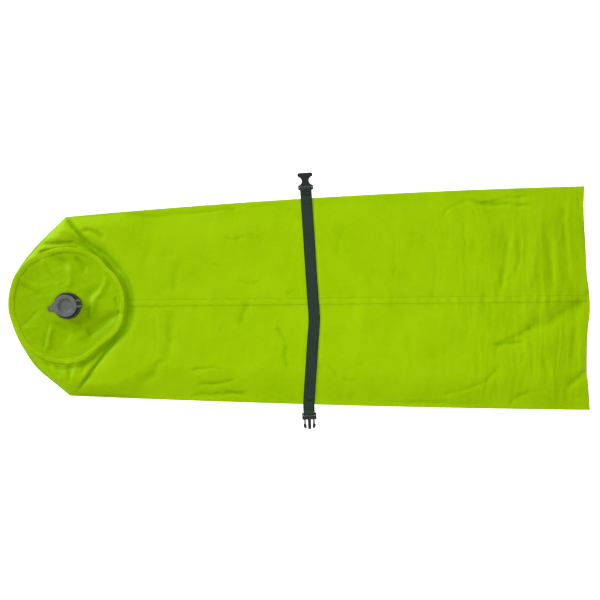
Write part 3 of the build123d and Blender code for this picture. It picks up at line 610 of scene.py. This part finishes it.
def woven_webbing(name, light, middle, dark):
    """Nylon webbing: ribs across its width 1.6 mm apart, crossed by fine warp ends, with painted shade in the
    grooves, and darker towards its edges.
    """
    material, tree, shader = start_material(name, 0.75, Specular_IOR_Level=0.12)
    place = add(tree, "ShaderNodeUVMap", {"uv_map": "UVMap"}).outputs["UV"]
    ribs = add(tree, "ShaderNodeTexWave", {"bands_direction": "X"},
               {"Scale": BAND_PERIOD / (1.6 * METRE), "Distortion": 0.6, "Detail": 1.0}, {"Vector": place})
    ends = add(tree, "ShaderNodeTexWave", {"bands_direction": "Y"},
               {"Scale": BAND_PERIOD / (1.1 * METRE), "Distortion": 0.4}, {"Vector": place})
    weave = add(tree, "ShaderNodeMath", {"operation": "MULTIPLY"},
                links={0: ribs.outputs["Fac"], 1: ends.outputs["Fac"]})
    fuzz = add(tree, "ShaderNodeTexNoise", values={"Scale": 420.0, "Detail": 3.0}, links={"Vector": place})
    mixed = add(tree, "ShaderNodeMix", {"data_type": "FLOAT"}, {"Factor": 0.45},
                {"A": weave.outputs[0], "B": fuzz.outputs["Fac"]})
    # Painted shade: the colour follows the weave's height, darker down in its grooves.
    colour = ramp(tree, mixed.outputs[0], [(0.1, dark), (0.4, middle), (0.8, light)])
    across = add(tree, "ShaderNodeSeparateXYZ", links={"Vector": place})
    centred = add(tree, "ShaderNodeMath", {"operation": "SUBTRACT"}, {1: 3 * WEB_WIDTH * METRE},
                  {0: across.outputs["Y"]})
    from_middle = add(tree, "ShaderNodeMath", {"operation": "ABSOLUTE"}, links={0: centred.outputs[0]})
    # Darker towards the webbing's two edges.
    edge_darkening = add(tree, "ShaderNodeMapRange", {"interpolation_type": "SMOOTHSTEP"},
                   {"From Min": 0.35 * WEB_WIDTH * METRE, "From Max": 0.5 * WEB_WIDTH * METRE, "To Max": 0.7},
                   {"Value": from_middle.outputs[0]})
    edged = add(tree, "ShaderNodeMix", {"data_type": "RGBA"}, {7: linear(dark)},
                {0: edge_darkening.outputs["Result"], 6: colour})
    tree.links.new(edged.outputs[2], shader.inputs["Base Color"])
    bump = add(tree, "ShaderNodeBump", values={"Strength": 0.7, "Distance": 0.0005},
               links={"Height": mixed.outputs[0]})
    tree.links.new(bump.outputs["Normal"], shader.inputs["Normal"])
    return material


def moulded_plastic(name, light, dark, roughness, grain=0.35):
    """Injection-moulded plastic: satin, with the fine spark-eroded grain of its mould, 0.6 mm across."""
    material, tree, shader = start_material(name, roughness, Specular_IOR_Level=0.16)
    place = add(tree, "ShaderNodeTexCoord").outputs["Object"]
    cloud = add(tree, "ShaderNodeTexNoise", values={"Scale": 130.0, "Detail": 3.0}, links={"Vector": place})
    tree.links.new(ramp(tree, cloud.outputs["Fac"], [(0.3, dark), (0.7, light)]), shader.inputs["Base Color"])
    pits = add(tree, "ShaderNodeTexNoise", values={"Scale": 1 / (0.6 * METRE), "Detail": 2.0},
               links={"Vector": place})
    bump = add(tree, "ShaderNodeBump", values={"Strength": grain, "Distance": 0.00008},
               links={"Height": pits.outputs["Fac"]})
    tree.links.new(bump.outputs["Normal"], shader.inputs["Normal"])
    return material


def sealing_film(name, light, dark):
    """Heat-sealed polyurethane tape: a faintly cloudy, glossy film over the stitches."""
    material, tree, shader = start_material(name, 0.3, IOR=1.5)
    place = add(tree, "ShaderNodeUVMap", {"uv_map": "UVMap"}).outputs["UV"]
    cloud = add(tree, "ShaderNodeTexNoise", values={"Scale": 90.0, "Detail": 3.0}, links={"Vector": place})
    tree.links.new(ramp(tree, cloud.outputs["Fac"], [(0.3, dark), (0.7, light)]), shader.inputs["Base Color"])
    return material


def brushed_pin(name):
    """Drawn stainless wire: bright metal with fine lengthwise drawing marks."""
    material, tree, shader = start_material(name, 0.32, Metallic=1.0)
    place = add(tree, "ShaderNodeTexCoord").outputs["Object"]
    marks = add(tree, "ShaderNodeTexNoise", values={"Scale": 900.0, "Detail": 2.0}, links={"Vector": place})
    tree.links.new(ramp(tree, marks.outputs["Fac"], [(0.3, "#8E8E90"), (0.7, "#B4B4B6")]),
                   shader.inputs["Base Color"])
    return material


SACK_CLOTH = coated_nylon("polyurethane-coated nylon", "#A0C80A", "#9AC305", "#91BB02")
# The base disc's cloth in darker colours: painted shade that makes the disc look less lit than the body.
DISC_CLOTH_SHADED = coated_nylon("coated nylon darkened as painted shade", "#94BE05", "#8EB802", "#84AF00")
BINDING = coated_nylon("coated nylon binding tape", "#A0C80A", "#97C004", "#8AB402")
SEAM_THREAD = twisted_thread("olive polyester thread", "#5A6A1C", "#3A4612")
WEB_THREAD = twisted_thread("dark green polyester thread", "#35453D", "#222E28")
WEBBING = woven_webbing("dark green nylon webbing", "#3A4D42", "#2C3D34", "#1C2922")
SEAL_FILM = sealing_film("polyurethane sealing tape", "#B6CF74", "#9DB95A")
VALVE_PLASTIC = moulded_plastic("dark grey moulded polypropylene", "#4A4650", "#3C3843", 0.5)
CAP_PLASTIC = moulded_plastic("mid grey moulded polypropylene", "#6D6F6C", "#60625F", 0.42)
BUCKLE_PLASTIC = moulded_plastic("black moulded acetal", "#1A1918", "#100F0F", 0.44)
RUBBER = moulded_plastic("black silicone rubber", "#1C1C1D", "#141415", 0.6)
PIN_STEEL = brushed_pin("drawn stainless wire")


# ---- the tube's cloth ----
def edge_columns(spacing, width):
    """Places across a wall from -1 to 1, evenly spaced but closer over the rounded folds."""
    close = np.array([0.0, 0.25, 0.8, 1.7, 3.0]) * 2 / width
    inner = np.linspace(-1 + close[-1], 1 - close[-1], int(width / spacing))
    return np.concatenate([-1 + close[:-1], inner, 1 - close[:-1][::-1]])


def edge_gap(x, t, rim_x):
    """Distance in from the nearest folded edge, blended smoothly round the base end's corners."""
    side = np.clip((1 - np.abs(t)) * half_width(x), 0, None) + 1e-6
    rim = np.clip(x - rim_x, 0, None) * 0.82 + 1e-6
    return (side**-3 + rim**-3) ** (-1 / 3)


def tube_rings(x, t, back_t):
    """Front and back walls as one loop per row: out across the front and home across the back."""
    front_y = middle_y(x) + half_width(x) * t
    front = wall_height(x, front_y, edge_gap(x, t, base_rim_x(t)))
    back_x = np.stack([np.interp(back_t[0], t[0], row) for row in x])
    back_y = middle_y(back_x) + half_width(back_x) * back_t
    gap = edge_gap(back_x, back_t, base_rim_x(back_t))
    rounding = np.sqrt(np.clip(1 - (1 - np.clip(gap / EDGE_ROUND, 0, 1)) ** 2, 0, 1))
    back = EDGE_HEIGHT - 0.92 * rounding - 0.1 * smooth(gap / 30)
    back = np.maximum(back + 0.1 * smooth(gap / 10) * lattice_noise(back_x, back_y, 24, 30, 41), 0.06)
    upper = np.stack([x, front_y, front], -1)
    lower = np.stack([back_x, back_y, back], -1)
    return np.concatenate([upper, lower], axis=1)


def hollows(height, reach=5):
    """How far each point of a grid lies below the average of its neighbours, in millimetres."""
    kernel = np.exp(-((np.arange(-2 * reach, 2 * reach + 1) / reach) ** 2))
    kernel /= kernel.sum()
    padded = np.pad(height, 2 * reach, mode="edge")
    even = np.apply_along_axis(np.convolve, 0, padded, kernel, "valid")
    even = np.apply_along_axis(np.convolve, 1, even, kernel, "valid")
    return np.clip(even - height, 0, None)


def painted_disc_shadow(x, y):
    """Painted shadow beside the base disc's rim, strongest to its right, where the raised disc shades the
    front wall.
    """
    r, angle = from_disc(x, y)
    out = np.clip(r - rim_radius(angle), 0, None)
    return 0.75 * np.exp(-((out / 17) ** 2)) * smooth(0.45 + 0.75 * np.cos(angle - 0.25))


def keep_value(piece, name, values):
    """Stores one number per point, for the material to read."""
    attribute = piece.data.attributes.new(name, "FLOAT", "POINT")
    attribute.data.foreach_set("value", values.astype(np.float32).ravel())


def tube_piece(name, start_x, end_x, lead_in, spacing, hem=0.0):
    """A stretch of the tube between two lines that may vary across it, with an optional turned-in hem."""
    length = float(np.max(end_x - start_x))
    lead = np.array(lead_in) / length
    rows = np.concatenate([lead[:-1], np.linspace(lead[-1], 1, int(length / spacing))])
    t = np.broadcast_to(COLUMNS, (len(rows), len(COLUMNS)))
    back_t = np.broadcast_to(BACK_COLUMNS, (len(rows), len(BACK_COLUMNS)))
    x = start_x[None, :] + rows[:, None] * (end_x - start_x)[None, :]
    points = tube_rings(x, t, back_t)
    front = points[:, :len(COLUMNS)]
    # Painted shade: how far each point of the front wall lies down in a crease, plus the painted shadow
    # beside the base disc, stored for the material to darken the colour there.
    painted_shade = np.zeros(points.shape[:2])
    painted_shade[:, :len(COLUMNS)] = hollows(front[..., 2]) + painted_disc_shadow(front[..., 0], front[..., 1])
    if hem:
        hem_rows = int(hem / spacing) + 1
        inside = points[-hem_rows:][::-1].copy()
        middle = inside[:, :, 2].mean(axis=1, keepdims=True)
        inside[..., 2] += np.clip(middle - inside[..., 2], -0.4, 0.4)
        points = np.concatenate([points, inside])
        painted_shade = np.concatenate([painted_shade, np.zeros(inside.shape[:2])])
    count, width = points.shape[:2]
    flat = points.reshape(-1, 3)
    faces = grid_faces(count, width, wrap=True)
    centre = flat[faces].mean(axis=1)
    r, _ = from_disc(centre[:, 0], centre[:, 1])
    under_disc = (r < DISC_RADIUS - DISC_LAP) & (centre[:, 2] > 2.5)
    piece = new_object(name, flat, faces[~under_disc], uv=flat[:, :2] * METRE)
    keep_value(piece, "painted_shade", painted_shade)
    return piece


COLUMNS = edge_columns(2.1, MOUTH_WIDTH)
BACK_COLUMNS = edge_columns(12.0, MOUTH_WIDTH)[::-1][1:-1]
RIM_X = base_rim_x(COLUMNS)
MOUTH_RIM_X = through(MOUTH_RIM, COLUMNS)
SPLIT_LINE = np.full_like(COLUMNS, SPLIT_X)

body_cloth = tube_piece("sack_body_cloth", RIM_X, SPLIT_LINE, [0, 0.3, 0.9, 1.8, 3.2], 2.35)
weld(body_cloth)
dress(body_cloth, SACK_CLOTH)
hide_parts("tube_main")

mouth_cloth = tube_piece("sack_mouth_cloth", SPLIT_LINE, MOUTH_RIM_X, [0, 1.7], 1.7, hem=12.0)
dress(mouth_cloth, SACK_CLOTH)
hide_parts("tube_roll_1", "tube_roll_2")
ROLL_REACH = 14.0
bend_over_fold(body_cloth, "sack", "roll_1", FOLD_1, ROLL_REACH)
bend_over_fold(mouth_cloth, "roll_1", "roll_2", FOLD_2, ROLL_REACH)


# ---- the base disc, its binding and stitches ----
def make_disc():
    """The disc's cloth, from the valve's neck to under the binding, as rings of points."""
    rings, around = 56, 320
    share = np.linspace(0, 1, rings)[:, None]
    angle = np.linspace(0, 2 * np.pi, around, endpoint=False)[None, :]
    r = (NECK_RADIUS + 0.2) * (1 - share) + (rim_radius(angle) - 3) * share
    x = VALVE_X + (DISC_X - VALVE_X) * share + r * np.cos(angle)
    y = VALVE_Y + (DISC_Y - VALVE_Y) * share + r * np.sin(angle)
    height = disc_height(x, y)
    points = np.stack([x, y, height], -1).reshape(-1, 3)
    faces = grid_faces(rings, around, wrap=True)
    piece = new_object("base_disc_cloth", points, faces, uv=points[:, :2] * METRE)
    # Painted shade: how far each point lies down in the disc's creases, stored for the material to darken the
    # colour there.
    keep_value(piece, "painted_shade", hollows(height, 3))
    dress(piece, DISC_CLOTH_SHADED)
    thicken(piece, CLOTH)
    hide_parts("base_disc")
    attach(piece, "sack")
    return piece


BAND_STITCH = 1.5          # stitches' distance out from the band's inner edge
# The band's section, clockwise from its inner edge, as (share of its width, height over the disc's cloth).
BAND_SECTION = [(0.0, 0.05), (0.03, 0.5), (0.09, 0.72), (0.14, 0.5), (0.19, 0.74), (0.3, 1.05),
                (0.5, 1.25), (0.7, 1.3), (0.86, 1.15), (0.95, 0.8), (1.0, 0.2), (0.95, -0.5),
                (0.7, -0.8), (0.3, -0.6)]


def make_binding():
    """Tape folded over the rim: one flat section carried round the disc, along its uneven edge."""
    count = 420
    angle = np.linspace(0, 2 * np.pi, count, endpoint=False)[:, None]
    section = np.array(BAND_SECTION)
    share, rise = section[None, :, 0], section[None, :, 1]
    r = rim_radius(angle) - BIND_WIDTH * (1 - share)
    x, y = DISC_X + r * np.cos(angle), DISC_Y + r * np.sin(angle)
    pucker = (0.25 * lattice_noise(x, y, 8, 8, 50) + 0.4 * lattice_noise(x, y, 21, 21, 51)) * (share > 0.16)
    cloth = disc_height(x, y)
    z = cloth * (1 - share) + share * cloth.mean(axis=1, keepdims=True) + rise + pucker
    around = len(section)
    points = np.stack([x, y, z], -1).reshape(-1, 3)
    last = np.arange(around)
    seam = np.stack([(count - 1) * around + last, last, (last + 1) % around,
                     (count - 1) * around + (last + 1) % around], -1)
    faces = np.concatenate([grid_faces(count, around, wrap=True), seam])
    piece = new_object("base_binding_tape", points, faces, uv=points[:, :2] * METRE)
    face_outwards(piece)
    dress(piece, BINDING)
    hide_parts("base_seam_binding")
    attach(piece, "sack")
    return piece


def stitches(name, line, heights, length=3.4, gap=0.7, radius=0.24):
    """A row of stitches: a short tapered bead on every step of a line, laid on the given heights.
    line maps a distance along the row to x and y, and heights maps x and y to the cloth's height."""
    total = line(None)
    starts = np.arange(0, total - length, length + gap)
    rings, around = 5, 6
    u = np.linspace(0, 1, rings)
    girth = radius * np.array([0.35, 0.95, 1.0, 0.95, 0.35])
    sink = np.array([-0.2, 0.02, 0.07, 0.02, -0.2])
    at = starts[:, None] + length * u
    x, y = line(at)
    ahead_x, ahead_y = line(at + 0.1)
    size = np.hypot(ahead_x - x, ahead_y - y)
    side_x, side_y = -(ahead_y - y) / size, (ahead_x - x) / size
    turn = np.linspace(0, 2 * np.pi, around, endpoint=False)
    wide = girth[None, :, None] * np.cos(turn)
    tall = girth[None, :, None] * np.sin(turn)
    points = np.stack([x[..., None] + side_x[..., None] * wide, y[..., None] + side_y[..., None] * wide,
                       (heights(x, y) + sink)[..., None] + tall], -1)
    offsets = np.arange(len(starts))[:, None, None] * rings * around
    faces = (grid_faces(rings, around, wrap=True)[None] + offsets).reshape(-1, 4).tolist()
    faces += (end_faces(rings, around)[None] + offsets).reshape(-1, around).tolist()
    piece = new_object(name, points.reshape(-1, 3), faces)
    face_outwards(piece)
    return piece


def rim_row(distance):
    """The base seam's row of stitches, in the groove just inside the band's inner edge."""
    if distance is None:
        return 2 * np.pi * (DISC_RADIUS - BIND_WIDTH)
    angle = distance / (DISC_RADIUS - BIND_WIDTH)
    wander = 0.3 * np.sin(3 * angle + 1) + 0.25 * np.sin(11 * angle)
    r = rim_radius(angle) - BIND_WIDTH + BAND_STITCH + wander
    return DISC_X + r * np.cos(angle), DISC_Y + r * np.sin(angle)


def band_groove(x, y):
    """Bottom of the groove that the base seam's stitches lie in."""
    return disc_height(x, y) + 0.5


def seam_row(start_x, end_x, side):
    """One of the long seam's two rows, as a function of the distance from its start."""
    def line(distance):
        """x and y at a distance along the row, or the row's whole length."""
        if distance is None:
            return end_x - start_x
        x = start_x + distance
        return x, seam_y(x) + side * SEAM_ROW
    return line


def front_wall(x, y):
    """The front wall's height anywhere inside the outline."""
    t = (y - middle_y(x)) / half_width(x)
    return wall_height(x, y, edge_gap(x, t, base_rim_x(t)))


disc_cloth = make_disc()
make_binding()
rim_stitches = stitches("base_stitches", rim_row, band_groove)
dress(rim_stitches, SEAM_THREAD)
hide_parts("base_seam_thread")
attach(rim_stitches, "sack")


def joined(name, pieces):
    """Joins mesh pieces that share a material into one."""
    with bpy.context.temp_override(active_object=pieces[0], object=pieces[0],
                                   selected_editable_objects=pieces, selected_objects=pieces):
        bpy.ops.object.join()
    pieces[0].name = name
    pieces[0].data.name = name
    return pieces[0]


SEAM_START = DISC_X + DISC_RADIUS + 4.0
SEAM_END = MOUTH_X - 3.0
TAPE_WIDTH = 20.0          # sealing tape behind the long seam
BACKING_WIDTH = 28.0       # sealing tape behind the strap
BACKING_IN = 44.0          # how far inside the sack's edges that tape ends


def make_seam_rows(name, start_x, end_x, nodes, bodies, fold):
    """A stretch of the long seam's two rows of stitches, joined into one piece."""
    rows = [stitches(f"{name}_{i}", seam_row(start_x, end_x, side), front_wall)
            for i, side in enumerate((-1, 1))]
    piece = joined(name, rows)
    dress(piece, SEAM_THREAD)
    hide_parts(*nodes)
    bend_over_fold(piece, *bodies, fold, ROLL_REACH)


make_seam_rows("long_seam_stitches_body", SEAM_START, SPLIT_X,
               ["seam_thread_main"], ("sack", "roll_1"), FOLD_1)
make_seam_rows("long_seam_stitches_mouth", SPLIT_X, SEAM_END,
               ["seam_thread_roll_1", "seam_thread_roll_2"], ("roll_1", "roll_2"), FOLD_2)


def inside_tape(name, centre, across, width, nodes):
    """A thin sealing film just under the front wall, along a centre line and a width direction."""
    columns = 9
    offsets = np.linspace(-width / 2, width / 2, columns)
    x = centre[0][:, None] + offsets * across[0]
    y = centre[1][:, None] + offsets * across[1]
    top = front_wall(x, y) - CLOTH - 0.25
    points = np.stack([x, y, top], -1).reshape(-1, 3)
    piece = new_object(name, points, grid_faces(len(centre[0]), columns), uv=points[:, :2] * METRE)
    thicken(piece, 0.15)
    dress(piece, SEAL_FILM)
    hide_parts(*nodes)
    return piece


def seam_film(name, start_x, end_x, nodes):
    """A stretch of the sealing tape behind the long seam."""
    x = np.linspace(start_x, end_x, int((end_x - start_x) / 4))
    return inside_tape(name, (x, seam_y(x)), (0.0, 1.0), TAPE_WIDTH, nodes)


film_body = seam_film("seam_tape_body", SEAM_START + 4, SPLIT_X, ["seam_tape_main"])
bend_over_fold(film_body, "sack", "roll_1", FOLD_1, ROLL_REACH)
film_mouth = seam_film("seam_tape_mouth", SPLIT_X, SEAM_END - 3, ["seam_tape_roll_1", "seam_tape_roll_2"])
bend_over_fold(film_mouth, "roll_1", "roll_2", FOLD_2, ROLL_REACH)
backing_y = np.linspace(LOWER_FOLD[1] + BACKING_IN, UPPER_FOLD[1] - BACKING_IN, 80)
backing = inside_tape("strap_backing_film", (strap_x(backing_y), backing_y), (-1.0, 0.0), BACKING_WIDTH,
                      ["strap_backing_tape"])
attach(backing, "sack")


# ---- the webbing ----
def webbing(name, path, side, uv_start=0.0):
    """Webbing swept along a path: a flat section with rounded edges, 20 mm across.
    path is an array of points, and side the unit direction across the webbing at each of them."""
    around = 20
    turn = np.linspace(0, 2 * np.pi, around, endpoint=False)
    across = WEB_WIDTH / 2 * np.sign(np.cos(turn)) * np.abs(np.cos(turn)) ** 0.12
    upright = WEB_THICK / 2 * np.sign(np.sin(turn)) * np.abs(np.sin(turn)) ** 0.35
    ahead = np.gradient(path, axis=0)
    ahead /= np.linalg.norm(ahead, axis=1, keepdims=True)
    normal = np.cross(side, ahead)
    normal /= np.linalg.norm(normal, axis=1, keepdims=True)
    points = path[:, None] + side[:, None] * across[None, :, None] + normal[:, None] * upright[None, :, None]
    step = np.concatenate([[0], np.cumsum(np.linalg.norm(np.diff(path, axis=0), axis=1))])
    uv = np.stack([np.broadcast_to(step[:, None] + uv_start, points.shape[:2]),
                   np.broadcast_to(across + 3 * WEB_WIDTH, points.shape[:2])], -1) * METRE
    piece = new_object(name, points.reshape(-1, 3), closed_sweep(len(path), around), uv=uv.reshape(-1, 2))
    face_outwards(piece)
    dress(piece, WEBBING)
    return piece


def strap_rest_height(y):
    """Where the webbing's middle lies: on the highest cloth under its width, evened out lengthwise."""
    under_web = np.linspace(-9, 9, 7)
    x = strap_x(y)[:, None] + under_web
    top = front_wall(x, np.repeat(y[:, None], len(under_web), axis=1))
    level = 0.5 * top.max(axis=1) + 0.5 * top.mean(axis=1)
    kernel = np.exp(-((np.arange(-8, 9) / 3.5) ** 2))
    padded = np.pad(level, 8, mode="edge")
    return np.convolve(padded, kernel / kernel.sum(), "valid") + WEB_THICK / 2 + 0.2


def strap_slant(y):
    """Unit direction across the strap, square to its middle line."""
    run = np.gradient(strap_x(y), y)
    size = np.hypot(run, 1)
    return np.stack([1 / size, -run / size, np.zeros_like(y)], -1)


TACK_IN = 7.0              # how far inside each edge the fixed strap hands over to its free end
WEB_LAY = 3.1              # height of the webbing's middle just past the sack's edge
BAR_RADIUS = 1.7
BAR_GAP = 0.15             # between a buckle's bar and the webbing round it
TAIL_START = 5.8           # from the fold to the cut end of the turned-back tail
TAIL_SEWN = 8.2            # from the fold to the tail's bar of stitches
TAIL_POINTS = 14
TACK_BAR_IN = 9.5          # from the sack's edge to the bar of thread that tacks the strap down
across_y = np.linspace(LOWER_FOLD[1] + TACK_IN, UPPER_FOLD[1] - TACK_IN, 150)
across_path = np.stack([strap_x(across_y), across_y, strap_rest_height(across_y)], -1)
strap_across = webbing("strap_across", across_path, strap_slant(across_y))
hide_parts("strap_middle")
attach(strap_across, "sack")


def free_end_path(fold, bar, start_height):
    """The free webbing's middle line as distances out from the fold and heights: over the sack's edge,
    down to the bar, half round it and back on top to the sewn tail."""
    out = float(np.hypot(bar[0] - fold[0], bar[1] - fold[1]))
    loop = BAR_RADIUS + BAR_GAP + WEB_THICK / 2
    u = np.linspace(-TACK_IN - 3, 0, 12)
    over_edge = np.stack([u, start_height + (WEB_LAY - start_height) * smooth((u - u[0]) / -u[0])], -1)
    u = np.linspace(0.8, out, 16)
    to_bar = np.stack([u, WEB_LAY + (bar[2] - loop - WEB_LAY) * (u / out) ** 0.9], -1)
    turn = np.linspace(-np.pi / 2, np.pi / 2, 15)[1:]
    round_bar = np.stack([out + loop * np.cos(turn), bar[2] + loop * np.sin(turn)], -1)
    u = np.linspace(out - 1, TAIL_START, TAIL_POINTS)
    lower = WEB_LAY + (bar[2] - loop - WEB_LAY) * (u / out) ** 0.9
    rise = smooth((u - TAIL_SEWN) / (out - TAIL_SEWN))
    tail = np.stack([u, (lower + WEB_THICK + 0.06) * (1 - rise) + (bar[2] + loop) * rise], -1)
    return np.concatenate([over_edge, to_bar, round_bar, tail])


def path_top(flat, u):
    """Top face of the folded-back tail at a distance from the fold."""
    tail = flat[-TAIL_POINTS:]
    return float(np.interp(u, tail[::-1, 0], tail[::-1, 1])) + WEB_THICK / 2


def make_bar_of_thread(name, middle, away, side, height, node, body):
    """A bar tack: a dense zigzag of thread 15 mm long along side and 2 mm wide along away."""
    turns, around, thread_radius = 34, 6, 0.26
    w = np.linspace(-7.4, 7.4, turns * 6)
    swing = np.linspace(0, turns * np.pi, turns * 6)
    zig = np.sin(swing)
    lift = height + 0.12 + 0.1 * np.cos(swing) ** 2
    centre = np.stack([middle[0] + away[0] * zig + side[0] * w,
                       middle[1] + away[1] * zig + side[1] * w, lift], -1)
    ahead = np.gradient(centre, axis=0)
    ahead /= np.linalg.norm(ahead, axis=1, keepdims=True)
    cross = np.cross(ahead, [0, 0, 1.0])
    cross /= np.linalg.norm(cross, axis=1, keepdims=True)
    turn = np.linspace(0, 2 * np.pi, around, endpoint=False)
    points = (centre[:, None] + thread_radius * np.cos(turn)[None, :, None] * cross[:, None]
              + thread_radius * np.sin(turn)[None, :, None] * np.array([0, 0, 1.0]))
    piece = new_object(name, points.reshape(-1, 3), closed_sweep(len(centre), around))
    face_outwards(piece)
    dress(piece, WEB_THREAD)
    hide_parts(node)
    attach(piece, body)


def make_free_end(name, fold, bar, node, stitch_node, body, sign):
    """A free strap end, run over the sack's edge, round its buckle's bar and back; the bar of stitches on its
    tail goes on the strap's body.
    """
    away = np.array([bar[0] - fold[0], bar[1] - fold[1], 0.0])
    away /= np.linalg.norm(away)
    side = np.array([away[1], -away[0], 0.0])
    inside_y = fold[1] - sign * TACK_IN
    start_height = float(np.interp(inside_y, across_y, across_path[:, 2])) + 0.1
    flat = free_end_path(fold, bar, start_height)
    path = np.stack([fold[0] + away[0] * flat[:, 0], fold[1] + away[1] * flat[:, 0], flat[:, 1]], -1)
    inner = flat[:, 0] < 0
    path[inner, 0] = strap_x(path[inner, 1])
    sides = np.repeat(side[None], len(path), axis=0)
    piece = webbing(name, path, sides, uv_start=200.0)
    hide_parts(node)
    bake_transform(piece)
    sewn_at = fold[:2] + away[:2] * TAIL_SEWN
    make_bar_of_thread(f"{name}_stitches", sewn_at, away, side, path_top(flat, TAIL_SEWN), stitch_node, body)


for name, fold, bar, sign in (("upper", UPPER_FOLD, UPPER_BAR, 1), ("lower", LOWER_FOLD, LOWER_BAR, -1)):
    make_free_end(f"{name}_strap_web", fold, bar, f"{name}_strap_end", f"{name}_strap_stitches",
                  f"{name}_strap", sign)
    tack_y = fold[1] - sign * TACK_BAR_IN
    tack_height = float(np.interp(tack_y, across_y, across_path[:, 2])) + WEB_THICK / 2 + 0.1
    make_bar_of_thread(f"{name}_tack_thread", (float(strap_x(tack_y)), tack_y), (0.0, sign), (1.0, 0.0),
                       tack_height, f"{name}_edge_tack", "sack")


# ---- CAD pieces that keep their shape ----
CAD_MATERIALS = {
    "valve_body": VALVE_PLASTIC, "valve_neck": VALVE_PLASTIC, "valve_clamp_ring": VALVE_PLASTIC,
    "valve_flap": RUBBER, "cap_seal": RUBBER, "valve_cap": CAP_PLASTIC, "hinge_pin": PIN_STEEL,
    "buckle_female": BUCKLE_PLASTIC, "buckle_male": BUCKLE_PLASTIC, "prong_left": BUCKLE_PLASTIC,
    "prong_right": BUCKLE_PLASTIC,
}
for node, material in CAD_MATERIALS.items():
    for slot in frame["nodes"][node].material_slots:
        slot.material = material


# ---- floor, light and camera ----
def make_floor():
    """Plain near-white floor, out to far past the view."""
    half = 40000.0
    corners = half * np.array([(-1, -1, 0), (1, -1, 0), (1, 1, 0), (-1, 1, 0)])
    floor = new_object("studio_floor", corners, [(0, 1, 2, 3)])
    material, tree, shader = start_material("backlit white acrylic", 0.9)
    shader.inputs["Base Color"].default_value = linear("#FAFAFA")
    shader.inputs["Emission Color"].default_value = linear("#FFFFFF")
    shader.inputs["Emission Strength"].default_value = 0.8
    floor.data.materials.append(material)


def area_light(name, place, target, size, power):
    """A square softbox, in metres and watts, turned to its target."""
    lamp = bpy.data.lights.new(name, "AREA")
    lamp.shape = "SQUARE"
    lamp.size = size
    lamp.energy = power
    light = bpy.data.objects.new(name, lamp)
    light.location = place
    aim = Vector(target) - Vector(place)
    light.rotation_euler = aim.to_track_quat("-Z", "Y").to_euler()
    bpy.context.scene.collection.objects.link(light)


def make_studio_air():
    """White studio walls: plain white to the eye, a faint even fill on the sack."""
    world = bpy.data.worlds.new("studio_air")
    world.use_nodes = True
    background = world.node_tree.nodes["Background"]
    background.inputs["Color"].default_value = linear("#FFFFFF")
    seen = add(world.node_tree, "ShaderNodeLightPath").outputs["Is Camera Ray"]
    level = add(world.node_tree, "ShaderNodeMapRange", values={"To Min": 0.08, "To Max": 1.0},
                links={"Value": seen})
    world.node_tree.links.new(level.outputs["Result"], background.inputs["Strength"])
    bpy.context.scene.world = world


def make_camera():
    """Straight above the sack: 1.05 m of floor fills the frame."""
    lens = bpy.data.cameras.new("overhead_camera")
    lens.sensor_width = 36.0
    height, floor_seen = 1.55, 1.05
    lens.lens = lens.sensor_width * height / floor_seen
    camera = bpy.data.objects.new("overhead_camera", lens)
    camera.location = (0.0009, 0.0009, height)
    bpy.context.scene.collection.objects.link(camera)
    bpy.context.scene.camera = camera


make_floor()
area_light("key_softbox", (-5.4, 4.0, 2.9), (0, 0, 0), 4.0, 480)
area_light("overhead_softbox", (0.15, -0.12, 1.9), (0.05, -0.1, 0), 1.1, 24)
make_studio_air()
bpy.context.scene.view_settings.view_transform = "Standard"
make_camera()
